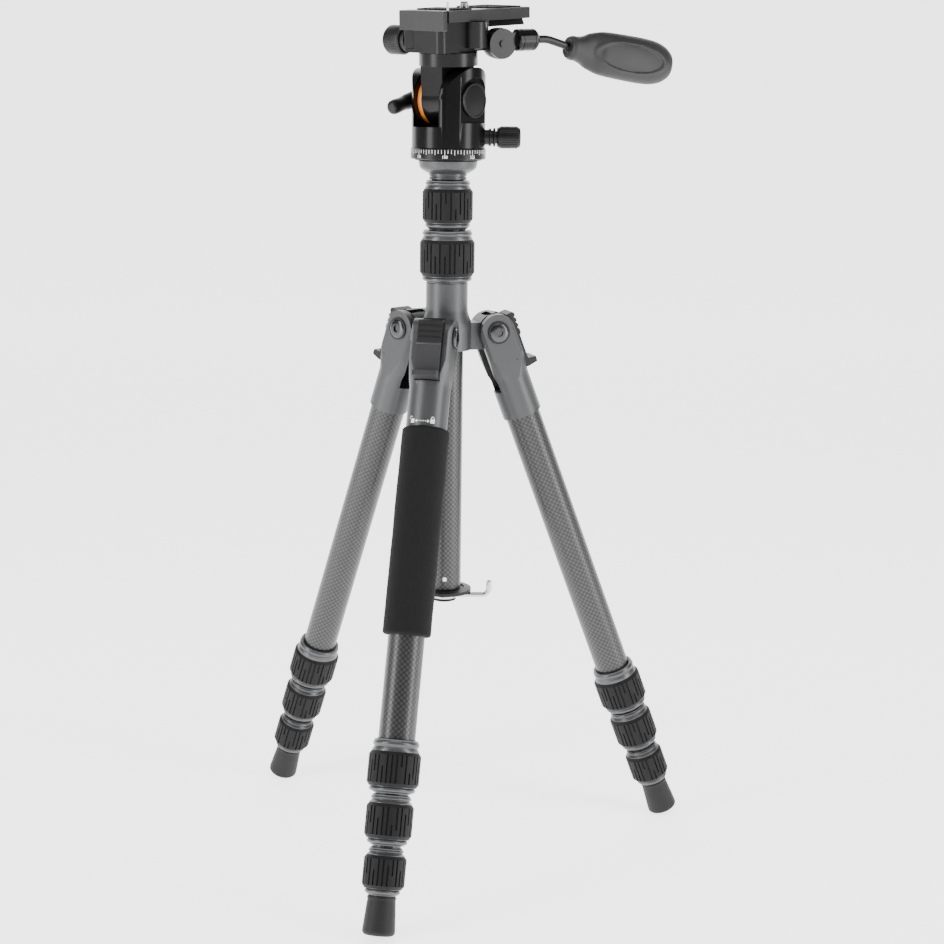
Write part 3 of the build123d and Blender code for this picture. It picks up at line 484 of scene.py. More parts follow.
# ---- pivot bolts ----
# A steel bolt through each lug, with a black nylon washer and a domed socket head at both ends.
washer_black = grained("washer_black", (0.005, 0.005, 0.005), 0.35, shine=0.3)
dark_steel = grained("dark_steel", (0.07, 0.07, 0.073), 0.26, metallic=1.0, speck=0.1, size=3000)
hex_reach = 2.9
head_top = 1.9
pocket_depth = 1.3
rim_radius = 7.0
bolts = []
washers = []
for leg in legs:
    face = span(f"leg_{leg}_casting", leg_frames[leg])[1].x + 0.2
    for side in (-1, 1):
        outward = leg_frames[leg] @ Matrix.Scale(mm, 4) @ Matrix.Rotation(side * pi / 2, 4, "Y")
        washer = turned(rounded(8.4, face, face + 0.8, 0.3, inner=3.2))
        washers.append(turn_to(washer, outward))
        # the head: hexagon pocket, joined to a round top that falls away to its edge
        deselect()
        bpy.ops.mesh.primitive_circle_add(vertices=6, radius=hex_reach, location=(0, 0, face + head_top))
        head = bpy.context.object
        apply_place()
        edit(head, "EDGE")
        bpy.ops.mesh.extrude_region_move(TRANSFORM_OT_translate={"value": (0, 0, -pocket_depth)})
        bpy.ops.mesh.edge_face_add()
        bpy.ops.mesh.select_all(action="DESELECT")
        bpy.ops.mesh.primitive_circle_add(vertices=48, radius=4.0, location=(0, 0, face + head_top))
        choose(head, "edges",
               lambda edge: all(vertex.co.z > face + head_top - 0.01 for vertex in edge.verts))
        bpy.ops.mesh.bridge_edge_loops()
        for reach, height in ((5.6, 1.72), (6.4, 1.35), (rim_radius, 0.9), (rim_radius, 0.8)):
            choose(head, "edges", lambda edge: edge.is_boundary)
            bpy.ops.mesh.extrude_region_move()
            pull_rim(head, reach, face + height)
        bpy.ops.mesh.edge_face_add()
        bpy.ops.mesh.select_all(action="SELECT")
        bpy.ops.mesh.normals_make_consistent(inside=False)
        bpy.ops.object.mode_set(mode="OBJECT")
        bolts.append(turn_to(head, outward))
    shank = turned(rounded(3.0, -face, face, 0.2))
    bolts.append(turn_to(shank, leg_frames[leg] @ Matrix.Scale(mm, 4) @ Matrix.Rotation(pi / 2, 4, "Y")))
settle(join(bolts), "pivot_bolt_set", dark_steel, "spider", replaces="leg_pivot_bolts")
settle(join(washers), "pivot_washer_set", washer_black, "spider")

# ---- leg tubes ----
# Carbon fibre tubes, four to a leg, with a fine grey and black plain weave under clear satin lacquer.
weave, given, made = node_group("carbon_weave", (
    ("Vector", "NodeSocketVector", None), ("Radius", "NodeSocketFloat", 0.012),
    ("Cell", "NodeSocketFloat", 0.0015)), (
    ("Colour", "NodeSocketColor"), ("Roughness", "NodeSocketFloat"), ("Height", "NodeSocketFloat")))
parts = weave.nodes.new("ShaderNodeSeparateXYZ")
weave.links.new(given.outputs["Vector"], parts.inputs[0])
around = calculate(weave, "MULTIPLY", calculate(weave, "ARCTAN2", parts.outputs["Y"],
                                                parts.outputs["X"]),
                   given.outputs["Radius"])
warp = calculate(weave, "DIVIDE", around, given.outputs["Cell"])
weft = calculate(weave, "DIVIDE", parts.outputs["Z"], given.outputs["Cell"])
steps_sum = calculate(weave, "ADD", calculate(weave, "FLOOR", warp), calculate(weave, "FLOOR", weft))
over = calculate(weave, "FLOORED_MODULO", steps_sum, 2.0)
hump_warp = calculate(weave, "ABSOLUTE", calculate(weave, "SINE",
                                                   calculate(weave, "MULTIPLY", warp, pi)))
hump_weft = calculate(weave, "ABSOLUTE", calculate(weave, "SINE",
                                                   calculate(weave, "MULTIPLY", weft, pi)))
hump = calculate(weave, "POWER", calculate(weave, "MULTIPLY", hump_warp, hump_weft), 0.45)
drift = weave.nodes.new("ShaderNodeTexNoise")
drift.inputs["Scale"].default_value = 420
drift.inputs["Detail"].default_value = 3
weave.links.new(given.outputs["Vector"], drift.inputs["Vector"])
strand = blend_colours(weave, over, (0.006, 0.006, 0.0065, 1), (0.048, 0.048, 0.050, 1))
worn = blend_colours(weave, calculate(weave, "MULTIPLY", drift.outputs[0], 0.65), strand,
                     (0.014, 0.014, 0.015, 1))
# painted shade and highlight: the weave colour is scaled by the same hump as the bump, so each cell is lighter on
# its crown and darker in the creases between cells
painted_crease_shade = weave.nodes.new("ShaderNodeVectorMath")
painted_crease_shade.operation = "SCALE"
weave.links.new(worn, painted_crease_shade.inputs[0])
weave.links.new(calculate(weave, "MULTIPLY_ADD", hump, 0.4, 0.65), painted_crease_shade.inputs["Scale"])
weave.links.new(painted_crease_shade.outputs[0], made.inputs["Colour"])
weave.links.new(calculate(weave, "MULTIPLY_ADD", over, -0.08, 0.42), made.inputs["Roughness"])
weave.links.new(hump, made.inputs["Height"])
cell_target = 1.9


def carbon(name, place, radius):
    """Woven tube surface in a tube's own frame; a whole number of cells goes round it."""
    material, tree, shader = new_material(name, (0.03, 0.03, 0.03), 0.4, metallic=0.1, coat=0.1)
    node = surface_from(weave, tree, shader, place, 0.35, 0.04)
    turns = 2 * round(tau * radius / (2 * cell_target))
    node.inputs["Radius"].default_value = radius * mm
    node.inputs["Cell"].default_value = tau * radius * mm / turns
    return material


def carbon_tube(node, name, body, place, wall=1.2):
    low, high = span(node, place)
    radius = high.x
    edge = 0.15
    outline = [(radius - wall, low.z), (radius - edge, low.z), (radius, low.z + edge),
               (radius, high.z - edge), (radius - edge, high.z), (radius - wall, high.z),
               (radius - wall, low.z)]
    settle(turned(outline, 96), name, carbon(name + "_weave", place, radius), body, place,
           replaces=node)


for leg in legs:
    for number in range(1, 5):
        body = f"leg_{leg}" if number == 1 else f"leg_{leg}_section_{number}"
        carbon_tube(f"leg_{leg}_tube_{number}", f"leg_{leg}_carbon_{number}", body, leg_frames[leg])

# ---- leg locks ----
# Each twist lock is a grey collar with a ribbed rubber sleeve moulded round its middle.
# Two rounded bands of the collar show at the sleeve's ends, and a toothed shim shows at its mouth.
sleeve_rubber = grained("sleeve_rubber", (0.006, 0.006, 0.0065), 0.62, shine=0.2, cloud=0.3, speck=0.5,
                        size=1600,
                        depth=0.04)
shim_nylon = grained("shim_nylon", (0.006, 0.006, 0.006), 0.5)
collar_grey = grained("collar_grey", (0.075, 0.076, 0.079), 0.34, metallic=0.6, cloud=0.1, speck=0.35,
                      size=2600)
# stretches of a sleeve, as shares of its length, that its grooves run over, one after the other
groove_runs = ((0, 5), (2, 5), (0, 5), (0, 3), (1, 5), (0, 5), (0, 4), (3, 5), (0, 5), (0, 2), (0, 5))
groove_levels = (0.10, 0.27, 0.42, 0.58, 0.74, 0.90)


def column_finder(piece, columns):
    """Tells which of a ring's even columns of faces a face is in, counted from the ring's first edge."""
    first = piece.data.vertices[0].co
    first_edge = atan2(first.y, first.x)

    def column_of(face):
        centre = face.calc_center_median()
        return int(((atan2(centre.y, centre.x) - first_edge) % tau) / tau * columns)

    return column_of


def ribbed(radius, bottom, top, grooves, depth, inner, shoulder=0.8, runs=groove_runs,
           levels=groove_levels, width=0.3, per_groove=4):
    """A ring, or a closed knob where inner is 0, with grooves cut along its side."""
    length = top - bottom
    deselect()
    bpy.ops.mesh.primitive_cylinder_add(vertices=per_groove * grooves, radius=radius,
                                        depth=length - 2 * shoulder, end_fill_type="NOTHING",
                                        location=(0, 0, (bottom + top) / 2))
    piece = bpy.context.object
    apply_place()
    edit(piece)
    for level in levels:
        bpy.ops.mesh.select_all(action="SELECT")
        bpy.ops.mesh.bisect(plane_co=(0, 0, bottom + level * length), plane_no=(0, 0, 1))
    column_of = column_finder(piece, per_groove * grooves)

    def in_groove(face):
        column = column_of(face)
        start, end = runs[(column // per_groove) % len(runs)]
        share = (face.calc_center_median().z - bottom) / length
        return column % per_groove == 0 and levels[start] < share < levels[end]

    choose(piece, "faces", in_groove)
    bpy.ops.mesh.inset(thickness=width, depth=-depth, use_boundary=True)
    for reach, rise in ((radius - 0.3 * shoulder, 0.7 * shoulder), (radius - shoulder, shoulder)):
        for sign, level in ((-1, bottom + shoulder), (1, top - shoulder)):
            choose(piece, "edges", lambda edge: edge.is_boundary
                   and (edge.verts[0].co.z - (bottom + top) / 2) * sign > 0)
            bpy.ops.mesh.extrude_region_move()
            pull_rim(piece, reach, level + sign * rise)
    for sign in (-1, 1):
        choose(piece, "edges", lambda edge: edge.is_boundary
               and (edge.verts[0].co.z - (bottom + top) / 2) * sign > 0)
        if inner:
            bpy.ops.mesh.extrude_region_move()
            pull_rim(piece, inner)
        else:
            bpy.ops.mesh.edge_face_add()
    if inner:
        choose(piece, "edges", lambda edge: edge.is_boundary)
        bpy.ops.mesh.bridge_edge_loops()
    bpy.ops.mesh.select_all(action="SELECT")
    bpy.ops.mesh.normals_make_consistent(inside=False)
    bpy.ops.object.mode_set(mode="OBJECT")
    return piece


def band(outer, bottom, top, bulge):
    """Outline stretch of a rounded collar band, from its bottom to its top."""
    steps = 6
    return [(outer - bulge + bulge * sin(pi * step / steps), bottom + (top - bottom) * step / steps)
            for step in range(steps + 1)]


def twist_lock(node, name, body, place, bore, lip, ring_reach, edge_height, edge_reach, grooves, teeth,
               shim_reach=0.55):
    """A collar, its sleeve and the toothed shim at its mouth; the lip is at the low end of z."""
    low, high = span(node, place)
    start, end, sleeve = low.z, high.z, high.x
    rim = end - edge_height
    seat = sleeve - 1.6
    lip_start = start + 0.9
    outline = [(bore, start + 0.4)]
    outline += [(ring_reach - 1.5, start), (ring_reach - 0.7, start + 0.25)]
    outline += band(ring_reach, lip_start, start + 0.62 * lip, 0.9)
    outline += [(ring_reach - 0.9, start + 0.66 * lip), (seat, start + lip - 0.25), (seat, rim + 0.25)]
    outline += [(ring_reach - 0.9, rim + 0.35)]
    outline += band(ring_reach, rim + 0.5, end - 1.1, 0.8)
    outline += [(edge_reach, end - 0.6), (edge_reach - 0.3, end), (bore, end), (bore, start + 0.4)]
    settle(turned(outline), name + "_collar", collar_grey, body, place, smooth=40, replaces=node)
    rubber = ribbed(sleeve, start + lip, rim, grooves, 0.9, seat - 0.1, width=0.2, per_groove=3)
    settle(rubber, name + "_sleeve", sleeve_rubber, body, place, smooth=30)
    # the shim's end, cut into teeth
    deselect()
    bpy.ops.mesh.primitive_cylinder_add(vertices=4 * teeth, radius=bore + shim_reach, depth=1.5,
                                        end_fill_type="NOTHING", location=(0, 0, start + 0.15))
    shim = bpy.context.object
    apply_place()
    edit(shim)
    bpy.ops.mesh.bisect(plane_co=(0, 0, start + 0.25), plane_no=(0, 0, 1))
    column_of = column_finder(shim, 4 * teeth)
    choose(shim, "faces",
           lambda face: column_of(face) % 4 == 0 and face.calc_center_median().z < start + 0.25)
    bpy.ops.mesh.delete(type="FACE")
    bpy.ops.object.mode_set(mode="OBJECT")
    wall = shim.modifiers.new("wall", "SOLIDIFY")
    wall.thickness = 0.5
    wall.offset = -1
    apply_modifiers(shim)
    settle(shim, name + "_shim", shim_nylon, body, place)


lips = (8.2, 5.6, 4.8)
lock_edge_height = 4.6
ring_proud = (3.25, 2.7, 2.4)
edge_proud = 2.0
groove_counts = (34, 31, 28)
for leg in legs:
    for number in range(3):
        upper = span(f"leg_{leg}_tube_{number + 1}", leg_frames[leg])[1].x
        lower = span(f"leg_{leg}_tube_{number + 2}", leg_frames[leg])[1].x
        twist_lock(f"leg_{leg}_lock_{number + 1}", f"leg_{leg}_twist_{number + 1}",
                   f"leg_{leg}_lock_{number + 1}", leg_frames[leg], upper + 0.12, lips[number],
                   upper + ring_proud[number], lock_edge_height, lower + edge_proud,
                   groove_counts[number], 10)

# ---- feet ----
# Plain moulded rubber boots, wider at the floor, with a lip at the top and a ringed tread underneath.
foot_rubber = grained("foot_rubber", (0.010, 0.010, 0.0105), 0.58, shine=0.25, cloud=0.35, speck=0.4,
                      size=1400,
                      depth=0.04)
tread_rings = (2.2, 4.4, 6.6)
for leg in legs:
    low, high = span(f"leg_{leg}_foot", leg_frames[leg])
    tube_radius = span(f"leg_{leg}_tube_4", leg_frames[leg])[1].x
    outline = [(tube_radius + 0.05, high.z - 10), (tube_radius + 0.05, low.z + 0.3),
               (tube_radius + 0.4, low.z),
               (9.7, low.z), (10.1, low.z + 0.5), (10.12, low.z + 1.9), (9.85, low.z + 2.3),
               (9.9, low.z + 2.9)]
    outline += [(9.95 + 1.5 * share, low.z + 3 + share * (high.z - low.z - 6.5))
                for share in (0.2, 0.4, 0.6, 0.8, 1.0)]
    outline += [(11.5 - 3 + 3 * cos(angle), high.z - 3 + 3 * sin(angle))
                for angle in (radians(15 * step) for step in range(1, 7))]
    for ring in reversed(tread_rings):
        outline += [(ring + 0.5, high.z), (ring + 0.25, high.z - 0.6), (ring - 0.25, high.z - 0.6),
                    (ring - 0.5, high.z)]
    outline += [(0, high.z)]
    outline += [(0, high.z - 10), (tube_radius + 0.05, high.z - 10)]
    settle(turned(outline), f"leg_{leg}_rubber_foot", foot_rubber, f"leg_{leg}_section_4",
           leg_frames[leg], smooth=45, replaces=f"leg_{leg}_foot")

# ---- foam grip ----
# A sleeve of closed-cell foam pulled over the front leg's top tube: soft square ends, a slightly
# uneven outside, and a fine open pore all over.
foam_pore, given, made = node_group("foam_pore", (
    ("Vector", "NodeSocketVector", None), ("Pore size", "NodeSocketFloat", 1500.0)), (
    ("Colour", "NodeSocketColor"), ("Roughness", "NodeSocketFloat"), ("Height", "NodeSocketFloat")))
cells = foam_pore.nodes.new("ShaderNodeTexVoronoi")
foam_pore.links.new(given.outputs["Vector"], cells.inputs["Vector"])
foam_pore.links.new(given.outputs["Pore size"], cells.inputs["Scale"])
soft = foam_pore.nodes.new("ShaderNodeTexNoise")
soft.inputs["Scale"].default_value = 90
foam_pore.links.new(given.outputs["Vector"], soft.inputs["Vector"])
# painted shade in the pores: the colour darkens towards each pore's centre, where the height is lowest, and the
# soft noise adds a random tone
pore_shade_and_tone_mask = calculate(foam_pore, "MULTIPLY_ADD", cells.outputs["Distance"], 0.5,
                       calculate(foam_pore, "MULTIPLY", soft.outputs[0], 0.6))
foam_pore.links.new(blend_colours(foam_pore, pore_shade_and_tone_mask, (0.002, 0.002, 0.002, 1),
                                  (0.007, 0.007, 0.0075, 1)),
                    made.inputs["Colour"])
foam_pore.links.new(calculate(foam_pore, "MULTIPLY_ADD", soft.outputs[0], 0.1, 0.85),
                    made.inputs["Roughness"])
foam_pore.links.new(cells.outputs["Distance"], made.inputs["Height"])
foam_black, tree, shader = new_material("foam_black", (0.012, 0.012, 0.012), 0.9)
shader.inputs["Specular IOR Level"].default_value = 0.25
surface_from(foam_pore, tree, shader, upright, 0.5, 0.15)

front = leg_frames["a"]
low, high = span("leg_grip", front)
tube_radius = span("leg_a_tube_1", front)[1].x
foam_edge = 2.2
foam_rows = 40
radius = high.x - 0.1
outline = [(tube_radius + 0.05, high.z), (tube_radius + 0.05, low.z)]
outline += [(radius - foam_edge + foam_edge * sin(angle), low.z + foam_edge - foam_edge * cos(angle))
            for angle in (radians(15 * step) for step in range(7))]
outline += [(radius, low.z + foam_edge + (high.z - low.z - 2 * foam_edge) * row / foam_rows)
            for row in range(1, foam_rows)]
outline += [(radius - foam_edge + foam_edge * cos(angle), high.z - foam_edge + foam_edge * sin(angle))
            for angle in (radians(15 * step) for step in range(7))]
outline += [(tube_radius + 0.05, high.z)]
foam = turned(outline, 128)
for vertex in foam.data.vertices:
    reach = hypot(vertex.co.x, vertex.co.y)
    if reach > tube_radius + 1:
        sway = noise.noise(vertex.co * 0.045) * 0.30 + noise.noise(vertex.co * 0.16) * 0.07
        vertex.co.x *= 1 + (sway - 0.12) / reach
        vertex.co.y *= 1 + (sway - 0.12) / reach
settle(foam, "foam_grip", foam_black, "leg_a", front)
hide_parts("leg_grip")

# ---- lock and unlock signs ----
# Printed in white on the front casting, just above the grip: an open padlock, a dotted arrow with
# two heads and a closed padlock.
print_white = grained("print_white", (0.82, 0.82, 0.82), 0.5, cloud=0.05, speck=0.1)
sign_rise = 0.06


def flat_print(shapes, wrap_radius, height=0.1):
    """A thin print from closed outlines in (across, along), wrapped round the z axis of its frame."""
    curve = bpy.data.curves.new("print", "CURVE")
    curve.dimensions = "2D"
    curve.fill_mode = "BOTH"
    curve.extrude = height / 2
    for shape in shapes:
        spline = curve.splines.new("POLY")
        spline.points.add(len(shape) - 1)
        for point, (across, along) in zip(spline.points, shape):
            point.co = (across, along, 0, 1)
        spline.use_cyclic_u = True
    piece = bpy.data.objects.new("print", curve)
    bpy.context.collection.objects.link(piece)
    take(piece)
    bpy.ops.object.convert(target="MESH")
    return wrapped(bpy.context.object, wrap_radius, height)


def wrapped(piece, wrap_radius, height):
    """Bends a flat piece round the z axis: its x goes round, its y goes down, its z goes out."""
    edit(piece)
    bpy.ops.mesh.select_all(action="SELECT")
    bpy.ops.mesh.remove_doubles(threshold=0.0005)
    bpy.ops.object.mode_set(mode="OBJECT")
    for vertex in piece.data.vertices:
        angle = vertex.co.x / wrap_radius
        reach = wrap_radius - height / 4 + vertex.co.z + height / 2
        vertex.co = (reach * sin(angle), reach * cos(angle), vertex.co.y)
    return piece


def block(left, right, low, high, steps=4):
    top = [(left + (right - left) * step / steps, low) for step in range(steps + 1)]
    return top + [(x, high) for x, y in reversed(top)]


def shackle(centre, base, reach, thick, rise, lifted=0.0):
    """A padlock's bow: an arch of even thickness over the body."""
    outer = [(centre - reach * cos(angle), base - rise - reach * sin(angle))
             for angle in (radians(20 * step) for step in range(10))]
    inner = [(centre + (reach - thick) * cos(angle), base - rise - (reach - thick) * sin(angle))
             for angle in (radians(20 * step) for step in range(10))]
    foot = base - lifted
    return ([(centre - reach, base)] + outer + [(centre + reach, foot), (centre + reach - thick, foot)]
            + inner + [(centre - reach + thick, base)])


casting_low, casting_high = span("leg_a_casting", front)
casting_radius = 14.8
sign_base = casting_high.z - 1.9
body_half = 1.6
body_height = 2.9
sign_reach = 7.6
signs = [block(sign_reach - body_half, sign_reach + body_half, sign_base - body_height, sign_base),
         shackle(sign_reach, sign_base - body_height, 1.25, 0.45, 0.7),
         block(-sign_reach - body_half, -sign_reach + body_half, sign_base - body_height, sign_base),
         shackle(-sign_reach - 1.6, sign_base - body_height, 1.25, 0.45, 0.9, lifted=1.0)]
sign_middle = sign_base - body_height / 2
for across in (-2.4, -1.2, 0.0, 1.2, 2.4):
    signs.append([(across + 0.36 * cos(tau * step / 10), sign_middle + 0.36 * sin(tau * step / 10))
                  for step in range(10)])
for side in (-1, 1):
    signs.append([(side * 3.2, sign_middle - 0.25), (side * 3.9, sign_middle - 0.25),
                  (side * 3.9, sign_middle - 1.15), (side * 5.4, sign_middle),
                  (side * 3.9, sign_middle + 1.15), (side * 3.9, sign_middle + 0.25),
                  (side * 3.2, sign_middle + 0.25)])
sign = flat_print(signs, casting_radius + sign_rise)
settle(sign, "lock_signs", print_white, "leg_a", front)

# ---- spider ----
# The casting that the legs hang from: a hub, three lugs with angle notches, and a tall plain neck.
settle(worked_copy("spider", edge=0.5, steps=3), "spider_casting", cast_grey, "spider",
       replaces="spider")

# ---- column locks ----
# The same twist locks, upside down: the lower one clamps the column in the spider, and the upper one
# clamps the inner column. Their lips are at the top.
downward = Matrix.Rotation(pi, 4, "X")
column_radius = span("column_tube", upright)[1].x
inner_radius = span("inner_column_tube", upright)[1].x
twist_lock("spider_lock", "spider_twist", "spider_lock", downward, column_radius + 0.12, 6.5, 18.3, 4.6,
           15.4, 35, 12)
twist_lock("column_lock", "column_twist", "column_lock", downward, inner_radius + 0.12, 5.8, 16.4, 4.6,
           14.5, 32, 12)

# ---- centre column ----
# Two carbon tubes, one inside the other, with a white stop dot printed near the lower end.
carbon_tube("column_tube", "column_carbon", "column", upright)
carbon_tube("inner_column_tube", "inner_column_carbon", "inner_column", upright)
cap_low, cap_high = span("column_end_cap", upright)
tube_low = span("column_tube", upright)[0].z
dot_radius = 1.65
dot_height = 8.5
dot = flat_print([[(dot_radius * cos(tau * step / 24), dot_radius * sin(tau * step / 24))
                   for step in range(24)]],
                 column_radius + sign_rise)
settle(dot, "stop_dot", print_white, "column",
       Matrix.Translation((0, 0, (tube_low + dot_height) * mm))
       @ Matrix.Rotation(pi + radians(15), 4, "Z"))

# ---- column end cap ----
# A black nylon plug with a milled edge that closes the column's lower end and carries the hook.
cap_radius = cap_high.x
disc_top = tube_low
disc_bottom = disc_top - 4.0
plug_radius = column_radius - 1.25
boss = [(0, cap_high.z), (plug_radius - 0.4, cap_high.z), (plug_radius, cap_high.z - 0.4),
        (plug_radius, disc_top - 1), (15.2, disc_top - 0.9), (15.2, disc_bottom + 0.9), (8.2, disc_bottom + 0.3),
        (6.0, disc_bottom), (6.0, cap_low.z + 1.2), (9.0, cap_low.z + 1.2), (9.1, cap_low.z + 0.5),
        (8.7, cap_low.z), (2.2, cap_low.z), (1.8, cap_low.z + 0.6), (0, cap_low.z + 0.6)]
cap_rim = ribbed(cap_radius, disc_bottom, disc_top, 60, 0.35, 15.0, shoulder=0.5, runs=((0, 1),),
                 levels=(0.2, 0.8), width=0.12)
settle(join([cap_rim, turned(boss)]), "end_cap", latch_nylon, "column", upright,
       replaces="column_end_cap")

# ---- weight hook ----
# One length of bright steel wire: a ring that turns round the cap's boss, an arm and a short upright.
settle(worked_copy("weight_hook", edge=0), "wire_hook", bright_steel, "hook", smooth=60,
       replaces="weight_hook")

# ---- top plate of the column ----
# A turned aluminium flange that the head screws onto, with fine lathe marks round its cone.
lathe_grey = grained("lathe_grey", (0.055, 0.056, 0.058), 0.36, metallic=0.6, cloud=0.1, speck=0.5,
                     size=1600,
                     depth=0.03, stretch=(30, 30, 1))
low, high = span("column_top_plate", upright)
plate_radius = high.x
stud_radius = 4.75
plate_top = high.z - 8.0
neck_radius = 13.8
shelf = plate_top - 9.0
outline = [(inner_radius + 0.05, low.z), (neck_radius - 0.5, low.z), (neck_radius, low.z + 0.5),
           (neck_radius, low.z + 1.5), (neck_radius - 0.7, low.z + 1.8), (neck_radius - 0.7,
                                                                          low.z + 2.6),
           (neck_radius, low.z + 2.9), (neck_radius, shelf - 0.6), (neck_radius + 1.6, shelf),
           (plate_radius - 2.4, shelf + 2.2), (plate_radius - 1.1, shelf + 3.5),
           (plate_radius - 0.6, shelf + 4.8), (plate_radius - 0.1, plate_top - 1.2), (plate_radius,
                                                                                      plate_top - 0.6),
           (plate_radius - 0.5, plate_top), (stud_radius, plate_top), (stud_radius, high.z - 0.6),
           (stud_radius - 0.6, high.z), (0, high.z), (0, shelf), (inner_radius + 0.05, shelf),
           (inner_radius + 0.05, low.z)]
settle(turned(outline), "column_flange", lathe_grey, "inner_column", upright,
       replaces="column_top_plate")

# ---- degree dial ----
# The head's anodised base ring, printed in white with a tick every 5 degrees and a number every 45.
dial_black = grained("dial_black", (0.007, 0.007, 0.0075), 0.3, metallic=0.3, shine=0.25, cloud=0.15,
                     speck=0.4, size=2400)
low, high = span("pan_base", upright)
dial_radius = high.x
dial_top = high.z - 10.0
dial_bottom = dial_top - 8.0
outline = [(stud_radius + 0.02, low.z), (dial_radius - 3.0, low.z),
           (dial_radius - 3.0, dial_bottom - 0.1),
           (dial_radius - 0.7, dial_bottom), (dial_radius - 0.15, dial_bottom + 0.4),
           (dial_radius, dial_bottom + 1.0), (dial_radius - 0.05, dial_top - 0.6),
           (dial_radius - 0.6, dial_top), (12.0, dial_top), (12.0, high.z - 0.5), (11.5, high.z), (0, high.z),
           (0, low.z + 8.0), (stud_radius + 0.02, low.z + 8.0), (stud_radius + 0.02, low.z)]
settle(turned(outline, 120), "pan_dial", dial_black, "inner_column", upright,
       replaces="pan_base")
dial_zero = radians(180 + 8.6)
tick_step = 5
number_step = 45
ticks = []
for degree in range(0, 360, tick_step):
    centre = radians(degree) * dial_radius
    length = 3.4 if degree % 15 == 0 else 2.5
    ticks.append(block(centre - 0.17, centre + 0.17, 1.0, 1.0 + length, steps=1))
tick_ring = flat_print(ticks, dial_radius + sign_rise)
# the prints run clockwise from the front when seen from above, with their tops at the dial's top
dial_place = Matrix.Translation((0, 0, dial_top * mm)) @ Matrix.Rotation(dial_zero, 4, "Z") @ downward
settle(tick_ring, "dial_ticks", print_white, "inner_column", dial_place)
numbers = []
for degree in range(0, 360, number_step):
    deselect()
    bpy.ops.object.text_add()
    text = bpy.context.object
    text.data.body = str(degree)
    text.data.align_x = "CENTER"
    text.data.align_y = "CENTER"
    text.data.size = 3.0
    text.data.extrude = 0.05
    text.data.offset = 0.03
    text.data.resolution_u = 3
    bpy.ops.object.convert(target="MESH")
    number = bpy.context.object
    numbers.append(turn_to(number, Matrix.Translation((radians(degree) * dial_radius, 6.0, 0))
                           @ Matrix.Rotation(pi, 4, "X")))
number_ring = wrapped(join(numbers), dial_radius + sign_rise, 0.1)
edit(number_ring)
bpy.ops.mesh.normals_make_consistent(inside=False)
bpy.ops.object.mode_set(mode="OBJECT")
settle(number_ring, "dial_numbers", print_white, "inner_column", dial_place)

# ---- head housing ----
# A gloss black casting: a ring over the dial with two arched walls, each with a wide eased edge.
gloss_black = grained("gloss_black", (0.002, 0.002, 0.0022), 0.22, shine=0.2,
                      speck=0.3, size=1800, depth=0.012)
settle(worked_copy("head_housing", edge=1.3, steps=4, sharp=40), "arched_housing", gloss_black,
       "pan", smooth=32, replaces="head_housing")

# ---- ball stem ----
# The tilting drum and blade between the walls, all in one black finish; the satin grey of its front is not given.
stem_black = grained("stem_black", (0.004, 0.004, 0.0045), 0.26, metallic=0.15, shine=0.25, speck=0.3,
                     size=1800, depth=0.012)
settle(worked_copy("ball_stem", edge=0.7, steps=3), "tilting_stem", stem_black, "tilt",
       replaces="ball_stem")

# ---- friction ring ----
# A bright orange polymer washer that the wing knob presses on the stem.
friction_orange = grained("friction_orange", (0.83, 0.23, 0.02), 0.35, cloud=0.15, speck=0.15)
settle(worked_copy("friction_ring", edge=0.3), "orange_friction_ring", friction_orange, "pan",
       replaces="friction_ring")

# ---- selector cap ----
# A plain round cap in the right wall's flat panel, with a fine raised rim and a coin slot left blank.
tilt_axis = Vector(joints["head_tilt"]["axis"])
tilt_centre = Vector(joints["head_tilt"]["pos_m"])
cap_frame = placed_frame(tilt_centre, (0, 0, 1), tilt_axis)
low, high = span("selector_cap", cap_frame)
selector_radius = high.x
outline = [(0, low.z), (selector_radius - 0.1, low.z), (selector_radius, low.z + 0.3),
           (selector_radius, high.z - 0.7), (selector_radius - 0.25, high.z - 0.2),
           (selector_radius - 0.8, high.z), (selector_radius - 1.3, high.z - 0.1),
           (selector_radius - 1.6, high.z - 0.45), (selector_radius - 4, high.z - 0.3), (4,
                                                                                         high.z - 0.1),
           (0, high.z - 0.05)]
cap_black = grained("cap_black", (0.004, 0.004, 0.0045), 0.3, metallic=0.15, shine=0.25, speck=0.5,
                    size=2000)
settle(turned(outline), "selector_disc", cap_black, "selector", cap_frame,
       replaces="selector_cap")

# ---- wing knob ----
# A moulded two-lobed thumb knob on the left wall, with a soft waist and a turned hub.
knob_frame = placed_frame(tilt_centre, (0, 0, 1), -tilt_axis)
low, high = span("ball_wing_knob", knob_frame)
wing_start = high.z - 11.5
wing_slope = radians(-15)
deselect()
bpy.ops.mesh.primitive_cube_add(size=1)
lobes = bpy.context.object
lobes.scale = (15, 13.0, 11.5)
lobes.location = (0, 0, wing_start + 5.7)
apply_place()
lobe_steps = ((2.6, 0.84, 0.94), (4.6, 1.0, 1.0), (5.4, 1.12, 1.04), (3.4, 0.90, 0.92),
              (1.8, 0.66, 0.72))
for side in (-1, 1):
    edit(lobes)
    choose(lobes, "faces", lambda face: face.normal.x * side > 0.9)
    reach = 7.5
    for step, thick, deep in lobe_steps:
        reach += step
        bpy.ops.mesh.extrude_region_move(TRANSFORM_OT_translate={"value": (side * step, 0, 0)})
        bpy.ops.transform.resize(value=(1, thick, deep), center_override=(side * reach, 0,
                                                                          wing_start + 5.7))
    bpy.ops.object.mode_set(mode="OBJECT")
rounding = lobes.modifiers.new("rounding", "SUBSURF")
rounding.levels = rounding.render_levels = 3
apply_modifiers(lobes)
turn_to(lobes, Matrix.Rotation(pi / 2 + wing_slope, 4, "Z"))
